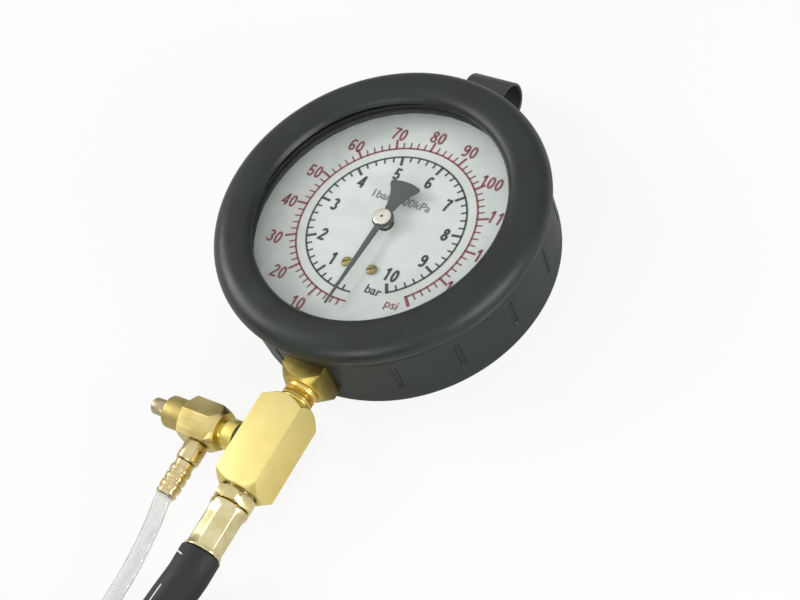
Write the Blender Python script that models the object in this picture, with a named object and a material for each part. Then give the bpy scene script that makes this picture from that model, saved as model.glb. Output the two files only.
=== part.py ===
# Fuel pressure tester: a dial gauge in a rubber boot, lying on its back, with a brass tee,
# a press-to-bleed valve with its clear drain tube, and a crimped pressure hose.
# Metres. The origin is the centre of the boot's back, +Z comes out of the dial,
# the stem and the hoses leave towards -Y, and the bleed valve points to -X.

import math

import bmesh
import bpy
from mathutils import Matrix, Vector

FIT_GAP = 0.0003            # between pieces that touch

# Gauge case, boot and window
CASE_RADIUS = 0.0430
CASE_WALL = 0.0008
CASE_DEPTH = 0.0201
BOOT_BACK = 0.0022
BOOT_WALL = 0.0035
BOOT_TAPER = 0.0006         # what the side wall gains on its way to the lip
LIP_REACH = 0.0027          # how far the lip stands out past the wall
LIP_WIDTH = 0.0122
LIP_SHOULDER = 0.7          # 1 gives the lip a round inner shoulder, less a squarer one
LIP_ROLL = 0.0100           # full height of the rolled lip
LIP_COVER = 0.0030          # what the lip adds in front of the bezel
SEAM_DEPTH = 0.0005
GRIP_COUNT = 16
GRIP_TURN = math.radians(9.0)
GRIP_WIDTH = 0.0012
GRIP_LENGTH = 0.0106
GRIP_DEPTH = 0.0005
GRIP_BASE = 0.0076
FOOT_GROOVE_RADIUS = 0.0315
FOOT_GROOVE_WIDTH = 0.0030
FOOT_GROOVE_DEPTH = 0.0006
BEZEL_WALL = 0.0007
BEZEL_SKIRT = 0.0072
WINDOW_LIP = 0.0038         # how far the bezel reaches in over the case's edge
SEAL_THICKNESS = 0.0014
LENS_THICKNESS = 0.0016

# Dial and pointer
DIAL_THICKNESS = 0.0008
DIAL_DROP = 0.0026          # dial face below the rim of the case
SPACER_WALL = 0.0022
PRINT_THICKNESS = 0.0001
PRINT_LIFT = 0.00005
BAR_ARC_RADIUS = 0.0240
BAR_TICK = 0.0030
PSI_ARC_RADIUS = 0.0266
PSI_TICK = 0.0029
ARC_LINE = 0.0005
MAJOR_LINE = 0.0009
MINOR_LINE = 0.00035
MINOR_SHARE = 0.62          # a minor tick's length, as a share of a major one's
BAR_FULL_SCALE = 10
DEGREES_PER_BAR = 33.36
FIVE_BAR_ANGLE = 107.7      # counter-clockwise from +X
PSI_PER_BAR = 14.5038
PSI_FULL_SCALE = 140
POINTER_REST = 267.0        # where the pointer rests, counter-clockwise from +X
POINTER_REACH = 0.0306
POINTER_TAIL = 0.0134
POINTER_THICKNESS = 0.0004
POINTER_COLLAR = 0.0032
FAN_HALF_WIDTH = 0.0050
POINTER_LIFT = 0.0026       # underside of the pointer above the dial
BOSS_RADIUS = 0.0018
BOSS_CAP_RADIUS = 0.0027
BOSS_CAP_HEIGHT = 0.0009
BOSS_DIMPLE_RADIUS = 0.0004
BOSS_DIMPLE_DEPTH = 0.0003
DIAL_SCREW_X = 0.00425
DIAL_SCREW_Y = -0.0152
DIAL_SCREW_RADIUS = 0.0008
DIAL_SCREW_HEAD = 0.0016

# Movement
ARBOR_RADIUS = 0.00075
TAIL_CLEAR = 0.0019         # from the tail's pin to the socket block
PINION_TEETH = 8
SECTOR_TEETH_ROUND = 72     # teeth that the full circle would have
SECTOR_TEETH_CUT = 11
SECTOR_THICKNESS = 0.0010
PINION_LENGTH = 0.0020
TAIL_ARM = 0.0056
LINK_THICKNESS = 0.0006
LINK_HALF_WIDTH = 0.0012
PIVOT_PIN_RADIUS = 0.0007
PLATE_THICKNESS = 0.0012
PLATE_SPACING = 0.0048      # free height between the plates
PLATE_HALF_WIDTH = 0.0086
PLATE_TOP = 0.0080
PLATE_CLEAR = 0.0005        # from the plates' lower edge to the socket block
PILLAR_INSET = 0.0025
SCREW_INSET = 0.0023
PILLAR_RADIUS = 0.0013
SPRING_TURNS = 4
SPRING_PITCH = 0.0009
SPRING_WIDTH = 0.0006

# Bourdon tube
TUBE_BEND_RADIUS = 0.0270
TUBE_THICK = 0.0030
TUBE_HIGH = 0.0090
TUBE_WALL = 0.0004
TUBE_START = 268.0
TUBE_END = -25.0
TIP_ANGLE = -30.0
TIP_LUG_REACH = 0.0085      # the link's pin, in from the tube's centre line

# Stem: socket, tee and hose fitting, all on one axis
STEM_HEIGHT = 0.0113
SHANK_FLATS = 0.0129
SHANK_STANDOUT = 0.0059     # shank past the boot's back edge
SHANK_CONE = 0.0036
NECK_RADIUS = 0.00485
NECK_SHOWN = 0.0050
NECK_ENGAGED = 0.0075
SOCKET_BLOCK_OVER = 0.0035  # metal of the block inside the tube's centre line
SOCKET_BLOCK_CLEAR = 0.0012 # between the block and the case's wall
SOCKET_BLOCK_HALF = 0.0085
SHELF_END = 0.0095
SHELF_HALF = 0.0060
PORT_RADIUS = 0.0016
TEE_FLATS = 0.0134
TEE_LENGTH = 0.0291
TEE_CONE = 0.0027
NIPPLE_HEX = 0.0110
NIPPLE_HEX_LENGTH = 0.0037
NIPPLE_STANDOFF = 0.0006
NIPPLE_TAIL_RADIUS = 0.0034
FERRULE_LENGTH = 0.0150
FERRULE_LIP_RADIUS = 0.0057
FERRULE_FLAT_RADIUS = 0.0051
FERRULE_FLATS = 8
HOSE_RADIUS = 0.0059
CASE_SCREW_RADIUS = 0.0012
CASE_SCREW_HEAD = 0.0022
CASE_SCREW_X = 0.0055
CASE_SCREW_INSET = 0.0085   # in from the case's side

# Bleed valve, measured along its own axis from the tee's side face
STUB_RADIUS = 0.0034
STUB_LENGTH = 0.0078
STUB_ENGAGED = 0.0045
VALVE_HEX = 0.0120
VALVE_HEX_LENGTH = 0.0125
VALVE_CONE = 0.0030
CHAMBER_RADIUS = 0.0025
SEAT_AT = 0.0100
SEAT_WALL = 0.0015
SEAT_HOLE = 0.0013
OUTER_CHAMBER = 0.0035
CAP_RADIUS = 0.0047
CAP_LENGTH = 0.0067
CAP_THREAD = 0.0048
BUTTON_RADIUS = 0.00245
BUTTON_STANDOUT = 0.0054
BUTTON_TRAVEL = 0.0020
STEM_PIN_RADIUS = 0.0008
POPPET_RADIUS = 0.0020
POPPET_HEIGHT = 0.0014
SPRING_WIRE = 0.00018
SPRING_RADIUS = 0.0018
SPRING_COILS = 4
SPRING_LENGTH = 0.0032
RING_TUBE = 0.0010          # the seal ring between valve and tee
DRAIN_AT = 0.0133
DRAIN_THREAD = 0.0023
DRAIN_ENGAGED = 0.0021
DRAIN_COLLAR_RADIUS = 0.0034
DRAIN_COLLAR = 0.0060
DRAIN_TAIL = 0.0014
SLEEVE_LENGTH = 0.0107
SLEEVE_RADIUS = 0.0031
SLEEVE_GROOVES = 3
DRAIN_TUBE_RADIUS = 0.0024

# Hanging hook
HOOK_WIDTH = 0.0140
HOOK_STRIP = 0.0009
HOOK_BEND = 0.00625
HOOK_STANDOUT = 0.0080      # centre of the bend past the boot's lip
HOOK_BASE = 0.0006          # the back leg's lowest face
HOOK_FREE_END_GAP = 0.0030  # the back leg's end past the lip
HOOK_FOOT = 0.0085

# Stored lengths of the two hoses
TIE_THICKNESS = 0.0007
TIE_WIDTH = 0.0080
HOSE_RING_RADIUS = 0.0620
HOSE_RING_X = 0.0580
HOSE_RING_Y = -0.1900
HOSE_RING_TURN = 295.0
TUBE_RING_RADIUS = 0.0270
TUBE_RING_X = -0.0534
TUBE_RING_Y = -0.1880
TUBE_ROWS = 3
TUBE_LAYERS = 2

# Places that follow from the sizes above
CASE_BACK = BOOT_BACK + FIT_GAP
CASE_RIM = CASE_BACK + CASE_DEPTH
CASE_INNER = CASE_RADIUS - CASE_WALL
BOOT_RADIUS = CASE_RADIUS + FIT_GAP + BOOT_WALL
LIP_RADIUS = BOOT_RADIUS + LIP_REACH
HOOK_REACH = LIP_RADIUS + HOOK_STANDOUT
HOOK_FREE_END = LIP_RADIUS + HOOK_FREE_END_GAP
SEAL_BASE = CASE_RIM + FIT_GAP
LENS_BASE = SEAL_BASE + SEAL_THICKNESS + FIT_GAP
BEZEL_FLANGE = LENS_BASE + LENS_THICKNESS + FIT_GAP
BEZEL_FRONT = BEZEL_FLANGE + BEZEL_WALL
BEZEL_INNER = CASE_RADIUS + FIT_GAP
BEZEL_RADIUS = BEZEL_INNER + BEZEL_WALL
WINDOW_RADIUS = CASE_RADIUS - WINDOW_LIP
LIP_UNDERSIDE = BEZEL_FRONT + FIT_GAP
GAUGE_DEPTH = LIP_UNDERSIDE + LIP_COVER
DIAL_FACE = CASE_RIM - DIAL_DROP
DIAL_BASE = DIAL_FACE - DIAL_THICKNESS
DIAL_RADIUS = CASE_INNER - FIT_GAP
POINTER_BASE = DIAL_FACE + POINTER_LIFT
BACK_PLATE = STEM_HEIGHT - 0.0023
SHELF_FACE = BACK_PLATE - FIT_GAP
FRONT_PLATE = BACK_PLATE + PLATE_THICKNESS + PLATE_SPACING
SECTOR_BASE = BACK_PLATE + PLATE_THICKNESS + 0.0018
LINK_BASE = SECTOR_BASE + SECTOR_THICKNESS + FIT_GAP
HAIRSPRING_BASE = FRONT_PLATE - FIT_GAP - SPRING_WIDTH
SOCKET_BLOCK_TOP = TUBE_BEND_RADIUS - SOCKET_BLOCK_OVER
CENTRE_DISTANCE = SOCKET_BLOCK_TOP - TAIL_ARM - TAIL_CLEAR
TOOTH_MODULE = CENTRE_DISTANCE * 2 / (PINION_TEETH + SECTOR_TEETH_ROUND)
PLATE_BOTTOM = PLATE_CLEAR - SOCKET_BLOCK_TOP
TIP_PIN_RADIUS_FROM_CENTRE = TUBE_BEND_RADIUS - TIP_LUG_REACH
SECTOR_SWING = math.radians((BAR_FULL_SCALE - 5) * DEGREES_PER_BAR - FIVE_BAR_ANGLE + POINTER_REST)
SECTOR_SWING = SECTOR_SWING * PINION_TEETH / SECTOR_TEETH_ROUND
SOCKET_BLOCK_END = CASE_INNER - SOCKET_BLOCK_CLEAR
CASE_SCREW_FROM_CENTRE = CASE_RADIUS - CASE_SCREW_INSET
SOCKET_END = BOOT_RADIUS + SHANK_STANDOUT
TEE_START = SOCKET_END + NECK_SHOWN
TEE_END = TEE_START + TEE_LENGTH
TEE_CENTRE = TEE_START + TEE_LENGTH / 2
NIPPLE_START = TEE_END + NIPPLE_STANDOFF
FERRULE_START = NIPPLE_START + NIPPLE_HEX_LENGTH + FIT_GAP
HOSE_START = FERRULE_START + FERRULE_LENGTH + FIT_GAP
VALVE_HEX_END = STUB_LENGTH + VALVE_HEX_LENGTH
CAP_START = VALVE_HEX_END + FIT_GAP
CAP_END = CAP_START + CAP_LENGTH
DRAIN_X = -TEE_FLATS / 2 - DRAIN_AT
DRAIN_START = TEE_CENTRE + VALVE_HEX / 2 + FIT_GAP
DRAIN_END = DRAIN_START + DRAIN_COLLAR + FIT_GAP + SLEEVE_LENGTH
COIL_BASE = TIE_THICKNESS + FIT_GAP
HOSE_RING_HEIGHT = COIL_BASE + HOSE_RADIUS


def finish(name, colour, roughness, metallic=0.0, alpha=1.0):
    """A material from its sRGB-like colour, roughness and metallic value."""
    material = bpy.data.materials.new(name)
    material.use_nodes = True
    shader = material.node_tree.nodes["Principled BSDF"]
    shader.inputs["Base Color"].default_value = (*colour, 1.0)
    shader.inputs["Roughness"].default_value = roughness
    shader.inputs["Metallic"].default_value = metallic
    shader.inputs["Alpha"].default_value = alpha
    return material


def from_bmesh(name, bm):
    """A new object that holds the bmesh's shape, with its faces turned outwards."""
    bmesh.ops.remove_doubles(bm, verts=bm.verts, dist=1e-7)
    bmesh.ops.recalc_face_normals(bm, faces=bm.faces)
    mesh = bpy.data.meshes.new(name)
    bm.to_mesh(mesh)
    bm.free()
    made = bpy.data.objects.new(name, mesh)
    bpy.context.collection.objects.link(made)
    return made


def turned(name, outline, steps=32, closed=False, degrees=360.0):
    """Spin an outline of (radius, height) points about Z."""
    bm = bmesh.new()
    verts = [bm.verts.new((radius, 0.0, height)) for radius, height in outline]
    edges = [bm.edges.new(pair) for pair in zip(verts, verts[1:])]
    if closed:
        edges.append(bm.edges.new((verts[-1], verts[0])))
    whole = degrees >= 360.0
    bmesh.ops.spin(
        bm, geom=verts + edges, axis=(0, 0, 1), cent=(0, 0, 0),
        angle=math.radians(degrees), steps=steps, use_merge=whole,
    )
    bmesh.ops.remove_doubles(bm, verts=bm.verts, dist=1e-7)
    if not whole:
        bmesh.ops.holes_fill(bm, edges=[e for e in bm.edges if e.is_boundary], sides=0)
    return from_bmesh(name, bm)


def ring(name, inner, outer, base, top, steps=32):
    """A washer-shaped piece of rectangular section."""
    outline = [(inner, base), (outer, base), (outer, top), (inner, top)]
    return turned(name, outline, steps, closed=True)


def disc(name, radius, base, top, steps=16):
    """A plain cylinder between two heights."""
    return turned(name, [(0, base), (radius, base), (radius, top), (0, top)], steps)


def plate(name, outline, base, top):
    """A flat piece of any outline, between two heights."""
    bm = bmesh.new()
    face = bm.faces.new([bm.verts.new((x, y, base)) for x, y in outline])
    grown = bmesh.ops.extrude_face_region(bm, geom=[face])["geom"]
    verts = [part for part in grown if isinstance(part, bmesh.types.BMVert)]
    bmesh.ops.translate(bm, verts=verts, vec=(0, 0, top - base))
    return from_bmesh(name, bm)


def block(name, low, high):
    """A rectangular block between two corners."""
    outline = [(low[0], low[1]), (high[0], low[1]), (high[0], high[1]), (low[0], high[1])]
    return plate(name, outline, low[2], high[2])


def combine(target, tool, operation="DIFFERENCE"):
    """Cut, join or intersect the target with a tool, which is used up."""
    step = target.modifiers.new(operation.title(), "BOOLEAN")
    step.operation = operation
    step.solver = "EXACT"
    step.object = tool
    bpy.context.view_layer.update()
    seen = target.evaluated_get(bpy.context.evaluated_depsgraph_get())
    shape = bpy.data.meshes.new_from_object(seen)
    target.modifiers.clear()
    target.data = shape
    bpy.data.objects.remove(tool)
    return target


def arc(centre, radius, start, end, count):
    """Points along an arc, the angles in degrees."""
    angles = [math.radians(start + (end - start) * i / (count - 1)) for i in range(count)]
    return [(centre[0] + radius * math.cos(a), centre[1] + radius * math.sin(a)) for a in angles]


def polar(radius, degrees):
    """A point by its radius and its angle."""
    angle = math.radians(degrees)
    return radius * math.cos(angle), radius * math.sin(angle)


def wrench_bar(name, sides, flats, length, first_cone=0.0, last_cone=0.0, turn=0.0):
    """A bar with flat sides whose ends are turned down to a cone."""
    corner = flats / 2 / math.cos(math.pi / sides)
    outline = arc((0, 0), corner, turn + 180 / sides, turn + 180 / sides + 360, sides + 1)[:-1]
    bar = plate(name, outline, 0.0, length)
    past = corner * 1.02
    face = flats / 2 * 0.97
    envelope = [(0, 0), (face if first_cone else past, 0)]
    if first_cone:
        envelope.append((past, first_cone))
    if last_cone:
        envelope.append((past, length - last_cone))
    envelope += [(face if last_cone else past, length), (0, length)]
    if not last_cone and not first_cone:
        return bar
    return combine(bar, turned("envelope", envelope, 48), "INTERSECT")


def swept(name, rings, closed=False):
    """Join rings of equally many points with faces, and close both ends."""
    bm = bmesh.new()
    loops = [[bm.verts.new(point) for point in points] for points in rings]
    pairs = list(zip(loops, loops[1:]))
    if closed:
        pairs.append((loops[-1], loops[0]))
    for near, far in pairs:
        for i, vert in enumerate(near):
            j = (i + 1) % len(near)
            bm.faces.new((vert, near[j], far[j], far[i]))
    if not closed:
        bm.faces.new(loops[0])
        bm.faces.new(loops[-1])
    return from_bmesh(name, bm)


def strip_outline(points, thickness):
    """The outline of a bent strip, from its centre line."""
    left, right = [], []
    for i, point in enumerate(points):
        before = Vector(points[max(i - 1, 0)])
        after = Vector(points[min(i + 1, len(points) - 1)])
        along = (after - before).normalized()
        side = Vector((-along.y, along.x)) * thickness / 2
        left.append(tuple(Vector(point) + side))
        right.append(tuple(Vector(point) - side))
    return left + right[::-1]


def smooth_route(points, spacing):
    """Evenly spaced points on a smooth curve through a route's own points."""
    route = [Vector(point) for point in points]
    route = [2 * route[0] - route[1]] + route + [2 * route[-1] - route[-2]]
    fine = []
    for a, b, c, d in zip(route, route[1:], route[2:], route[3:]):
        for i in range(24):
            t = i / 24
            fine.append(0.5 * (2 * b + (c - a) * t + (2 * a - 5 * b + 4 * c - d) * t * t
                               + (3 * b - a - 3 * c + d) * t ** 3))
    fine.append(route[-2])
    lengths = [0.0]
    for near, far in zip(fine, fine[1:]):
        lengths.append(lengths[-1] + (far - near).length)
    count = max(2, round(lengths[-1] / spacing))
    even, at = [], 0
    for i in range(count + 1):
        goal = lengths[-1] * i / count
        while at < len(fine) - 2 and lengths[at + 1] < goal:
            at += 1
        share = (goal - lengths[at]) / (lengths[at + 1] - lengths[at])
        even.append(fine[at].lerp(fine[at + 1], share))
    return even


def round_bar(name, points, radius, resolution=2):
    """A curve with a round bevel and filled ends."""
    curve = bpy.data.curves.new(name, "CURVE")
    curve.dimensions = "3D"
    curve.bevel_depth = radius
    curve.bevel_resolution = resolution
    curve.use_fill_caps = True
    spline = curve.splines.new("POLY")
    spline.points.add(len(points) - 1)
    for slot, point in zip(spline.points, points):
        slot.co = (*point, 1.0)
    made = bpy.data.objects.new(name, curve)
    bpy.context.collection.objects.link(made)
    return made


def axis_empty(name, location, rotation):
    """An empty that carries the pieces on one axis."""
    made = bpy.data.objects.new(name, None)
    made.location = location
    made.rotation_euler = rotation
    bpy.context.collection.objects.link(made)
    return made


def seat(piece, material, parent=None, location=(0, 0, 0), rotation=(0, 0, 0)):
    """Give a piece its material and its place."""
    piece.data.materials.clear()
    piece.data.materials.append(material)
    if piece.type == "MESH":
        for face in piece.data.polygons:
            face.material_index = 0
        piece.data.shade_smooth()
        piece.data.set_sharp_from_angle(angle=math.radians(32))
    piece.parent = parent
    piece.location = location
    piece.rotation_euler = rotation
    return piece


def tube_section(grow=0.0):
    """The flattened section of the Bourdon tube: offsets along radius and height."""
    half, high = TUBE_THICK / 2 + grow, TUBE_HIGH / 2 + grow
    bend = arc((0, high - half), half, 0, 180, 5)
    return bend + [(-x, -y) for x, y in bend]


def tube_sweep(name, start, end, steps, grow=0.0, hollow=0.0):
    """The tube's section carried round the dial's centre; hollow is its wall, if it has one."""
    def station(degrees, section):
        x, y = polar(1.0, degrees)
        return [((TUBE_BEND_RADIUS + out) * x, (TUBE_BEND_RADIUS + out) * y, STEM_HEIGHT + up)
                for out, up in section]

    angles = [start + (end - start) * i / steps for i in range(steps + 1)]
    if not hollow:
        return swept(name, [station(a, tube_section(grow)) for a in angles])
    rings = [station(a, tube_section(grow)) for a in angles]
    rings += [station(a, tube_section(grow - hollow)) for a in reversed(angles)]
    return swept(name, rings, closed=True)


def boot(rubber):
    """The rubber cup round the case, with its rolled lip, grip grooves and openings."""
    seam = GAUGE_DEPTH - LIP_ROLL + 0.0006
    shoulder = BOOT_RADIUS + BOOT_TAPER
    centre = LIP_RADIUS - LIP_WIDTH / 2, GAUGE_DEPTH - LIP_ROLL / 2
    rise = (LIP_UNDERSIDE - centre[1]) / (LIP_ROLL / 2)
    inner_end = 180 - math.degrees(math.asin(rise ** (1 / LIP_SHOULDER)))
    roll = []
    for x, y in arc((0, 0), 1.0, -52, inner_end, 14):
        if x < 0:
            x, y = -abs(x) ** LIP_SHOULDER, y ** LIP_SHOULDER
        roll.append((centre[0] + x * LIP_WIDTH / 2, centre[1] + y * LIP_ROLL / 2))
    groove = FOOT_GROOVE_RADIUS, FOOT_GROOVE_RADIUS + FOOT_GROOVE_WIDTH
    chamber = BEZEL_RADIUS + FIT_GAP
    step = BEZEL_FRONT - BEZEL_SKIRT - FIT_GAP
    outline = [
        (0, 0), (groove[0], 0), (groove[0] + 0.0004, FOOT_GROOVE_DEPTH),
        (groove[1] - 0.0004, FOOT_GROOVE_DEPTH), (groove[1], 0),
        (BOOT_RADIUS - 0.0010, 0), (BOOT_RADIUS - 0.0003, 0.0003), (BOOT_RADIUS, 0.0010),
        (shoulder, seam - 0.0005), (shoulder - SEAM_DEPTH, seam),
        *roll,
        (chamber, LIP_UNDERSIDE), (chamber, step),
        (CASE_RADIUS + FIT_GAP, step), (CASE_RADIUS + FIT_GAP, BOOT_BACK), (0, BOOT_BACK),
    ]
    body = turned("boot", outline, 48)

    middle = GRIP_BASE + GRIP_LENGTH / 2
    surface = BOOT_RADIUS + BOOT_TAPER * middle / seam
    grips = bmesh.new()
    for i in range(GRIP_COUNT):
        turn = Matrix.Rotation(GRIP_TURN + 2 * math.pi * i / GRIP_COUNT, 4, "Z")
        place = turn @ Matrix.Translation((surface + 0.0010 - GRIP_DEPTH, 0, middle))
        size = Matrix.Diagonal((0.0020, GRIP_WIDTH, GRIP_LENGTH, 1))
        bmesh.ops.create_cube(grips, size=1.0, matrix=place @ size)
    combine(body, from_bmesh("grips", grips))

    half = SHANK_FLATS / 2 + FIT_GAP
    combine(body, block("stem_hole", (-half, -LIP_RADIUS - 0.005, STEM_HEIGHT - half),
                        (half, -SOCKET_BLOCK_END + 0.005, STEM_HEIGHT + half)))
    leg_top = HOOK_BASE + 2 * HOOK_BEND + HOOK_STRIP
    side = HOOK_WIDTH / 2 + FIT_GAP
    pocket_outer = CASE_RADIUS + FIT_GAP + HOOK_STRIP + FIT_GAP
    pocket = block("pocket", (-side, CASE_RADIUS - 0.003, leg_top - HOOK_FOOT - HOOK_STRIP - FIT_GAP),
                   (side, pocket_outer, leg_top + FIT_GAP))
    slot = block("slot", (-side, CASE_RADIUS, leg_top - HOOK_STRIP - FIT_GAP),
                 (side, LIP_RADIUS + 0.003, leg_top + FIT_GAP))
    combine(body, combine(pocket, slot, "UNION"))
    for x in (-CASE_SCREW_X, CASE_SCREW_X):
        well = disc("well", CASE_SCREW_HEAD + FIT_GAP, BOOT_BACK - 0.0012, BOOT_BACK + 0.001, 12)
        well.location = (x, -CASE_SCREW_FROM_CENTRE, 0)
        combine(body, well)
    return seat(body, rubber)


def case(steel):
    """The pressed steel cup that holds the works."""
    corner = 0.0012
    outline = [
        (0, CASE_BACK), (CASE_RADIUS - corner, CASE_BACK), (CASE_RADIUS, CASE_BACK + corner),
        (CASE_RADIUS, CASE_RIM), (CASE_INNER, CASE_RIM),
        (CASE_INNER, CASE_BACK + CASE_WALL), (0, CASE_BACK + CASE_WALL),
    ]
    cup = turned("gauge_case", outline, 48)
    half = SHANK_FLATS / 2 + FIT_GAP
    combine(cup, block("stem_hole", (-half, -CASE_RADIUS - 0.005, STEM_HEIGHT - half),
                       (half, -SOCKET_BLOCK_END + 0.005, STEM_HEIGHT + half)))
    for x in (-CASE_SCREW_X, CASE_SCREW_X):
        hole = disc("hole", CASE_SCREW_RADIUS + FIT_GAP, 0, 0.01, 12)
        hole.location = (x, -CASE_SCREW_FROM_CENTRE, 0)
        combine(cup, hole)
    return seat(cup, steel)


def window(steel, rubber, glass, plastic):
    """Bezel ring, lens, lens seal and the ring that spaces the dial from the seal."""
    bezel = [
        (WINDOW_RADIUS, BEZEL_FLANGE), (BEZEL_INNER, BEZEL_FLANGE),
        (BEZEL_INNER, BEZEL_FRONT - BEZEL_SKIRT), (BEZEL_RADIUS, BEZEL_FRONT - BEZEL_SKIRT),
        (BEZEL_RADIUS, BEZEL_FRONT - 0.0004), (BEZEL_RADIUS - 0.0004, BEZEL_FRONT),
        (WINDOW_RADIUS, BEZEL_FRONT),
    ]
    seat(turned("bezel_ring", bezel, 48, closed=True), steel)
    seat(disc("lens", CASE_RADIUS, LENS_BASE, LENS_BASE + LENS_THICKNESS, 48), glass)
    inner = DIAL_RADIUS - SPACER_WALL
    seat(ring("lens_seal", inner, CASE_RADIUS, SEAL_BASE, SEAL_BASE + SEAL_THICKNESS, 40), rubber)
    seat(ring("dial_spacer", inner, DIAL_RADIUS, DIAL_FACE + FIT_GAP, CASE_RIM, 40), plastic)


def scale_outline(inside, outside, ticks_inward, end_tick, major_every, step_degrees, tick):
    """Outline of an arc with ticks on one side, clockwise from the zero mark."""
    toothed, plain = (inside, outside) if ticks_inward else (outside, inside)
    tip_sign = -1 if ticks_inward else 1
    zero = FIVE_BAR_ANGLE + 5 * DEGREES_PER_BAR
    points = []
    for i in range(end_tick + 1):
        major = i % major_every == 0
        half = math.degrees((MAJOR_LINE if major else MINOR_LINE) / 2 / toothed)
        tip = toothed + tip_sign * tick * (1 if major else MINOR_SHARE)
        angle = zero - i * step_degrees
        points += [polar(toothed, angle + half), polar(tip, angle + half * toothed / tip),
                   polar(tip, angle - half * toothed / tip), polar(toothed, angle - half)]
    back = arc((0, 0), plain, zero - end_tick * step_degrees, zero, 49)
    return points + back


def dial(enamel, black_ink, red_ink, brass):
    """Dial plate with its two printed scales and two screws."""
    face = disc("dial_plate", DIAL_RADIUS, DIAL_BASE, DIAL_FACE, 48)
    combine(face, disc("centre_hole", BOSS_RADIUS + 0.0006, 0, 0.03, 16))
    screws = (("dial_screw_left", -DIAL_SCREW_X), ("dial_screw_right", DIAL_SCREW_X))
    for _, x in screws:
        hole = disc("hole", DIAL_SCREW_RADIUS + FIT_GAP, 0, 0.03, 12)
        hole.location = (x, DIAL_SCREW_Y, 0)
        combine(face, hole)
    seat(face, enamel)
    base = DIAL_FACE + PRINT_LIFT
    bar = scale_outline(BAR_ARC_RADIUS - ARC_LINE, BAR_ARC_RADIUS, True, BAR_FULL_SCALE * 5, 5,
                        DEGREES_PER_BAR / 5, BAR_TICK)
    seat(plate("bar_scale", bar, base, base + PRINT_THICKNESS), black_ink)
    psi = scale_outline(PSI_ARC_RADIUS, PSI_ARC_RADIUS + ARC_LINE, False, PSI_FULL_SCALE // 10, 1,
                        DEGREES_PER_BAR * 10 / PSI_PER_BAR, PSI_TICK)
    seat(plate("psi_scale", psi, base, base + PRINT_THICKNESS), red_ink)
    for name, x in screws:
        head = DIAL_FACE + FIT_GAP
        foot = FRONT_PLATE + PLATE_THICKNESS + FIT_GAP
        outline = [(0, foot), (DIAL_SCREW_RADIUS, foot), (DIAL_SCREW_RADIUS, head), (DIAL_SCREW_HEAD, head),
                   (DIAL_SCREW_HEAD * 0.8, head + 0.0007), (0, head + 0.0007)]
        screw = turned(name, outline, 12)
        combine(screw, block("drive", (-0.003, -0.0002, head + 0.0004), (0.003, 0.0002, head + 0.002)))
        seat(screw, brass, location=(x, DIAL_SCREW_Y, 0))


def pointer(black, silver):
    """Black pointer with its fan tail, on a bright boss."""
    outline = [(0.00035, -POINTER_REACH), (0.00105, -POINTER_COLLAR * 0.96)]
    outline += arc((0, 0), POINTER_COLLAR, -68, 62, 7)
    fan = ((0.32, 0.28), (0.40, 0.43), (0.60, 0.635), (0.80, 0.785), (0.97, 0.85), (1.0, 0.895), (0.94, 0.935))
    outline += [(FAN_HALF_WIDTH * wide, POINTER_TAIL * far) for wide, far in fan]
    outline += [polar(POINTER_TAIL, 75), polar(POINTER_TAIL, 82.5), (0, POINTER_TAIL)]
    outline += [(-x, y) for x, y in reversed(outline[:-1])]
    top = POINTER_BASE + POINTER_THICKNESS
    needle = plate("pointer", outline, POINTER_BASE, top)
    combine(needle, disc("bore", BOSS_RADIUS + FIT_GAP, 0, 0.05, 20))
    seat(needle, black, rotation=(0, 0, math.radians(POINTER_REST - 270)))
    cap = top + FIT_GAP
    hole = ARBOR_RADIUS + FIT_GAP
    front = cap + BOSS_CAP_HEIGHT
    outline = [(0, cap + FIT_GAP), (hole, cap + FIT_GAP), (hole, DIAL_FACE + 0.0004),
               (BOSS_RADIUS, DIAL_FACE + 0.0004), (BOSS_RADIUS, cap), (BOSS_CAP_RADIUS, cap),
               (BOSS_CAP_RADIUS, cap + BOSS_CAP_HEIGHT * 0.7), (BOSS_CAP_RADIUS - 0.0003, front),
               (BOSS_DIMPLE_RADIUS, front), (0, front - BOSS_DIMPLE_DEPTH)]
    seat(turned("pointer_boss", outline, 20), silver)


def gear_outline(teeth, pitch_radius, first, count, tooth, direction):
    """Points of a row of slim teeth, from the first tooth's angle on."""
    pitch = 360 / teeth
    root, tip = pitch_radius - 1.25 * TOOTH_MODULE, pitch_radius + TOOTH_MODULE
    points = []
    for i in range(count):
        angle = first + direction * i * pitch
        foot = direction * math.degrees(tooth / 2 / root)
        point = direction * math.degrees(tooth * 0.32 / tip)
        points += [polar(root, angle - foot), polar(tip, angle - point),
                   polar(tip, angle + point), polar(root, angle + foot)]
    return points


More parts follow.
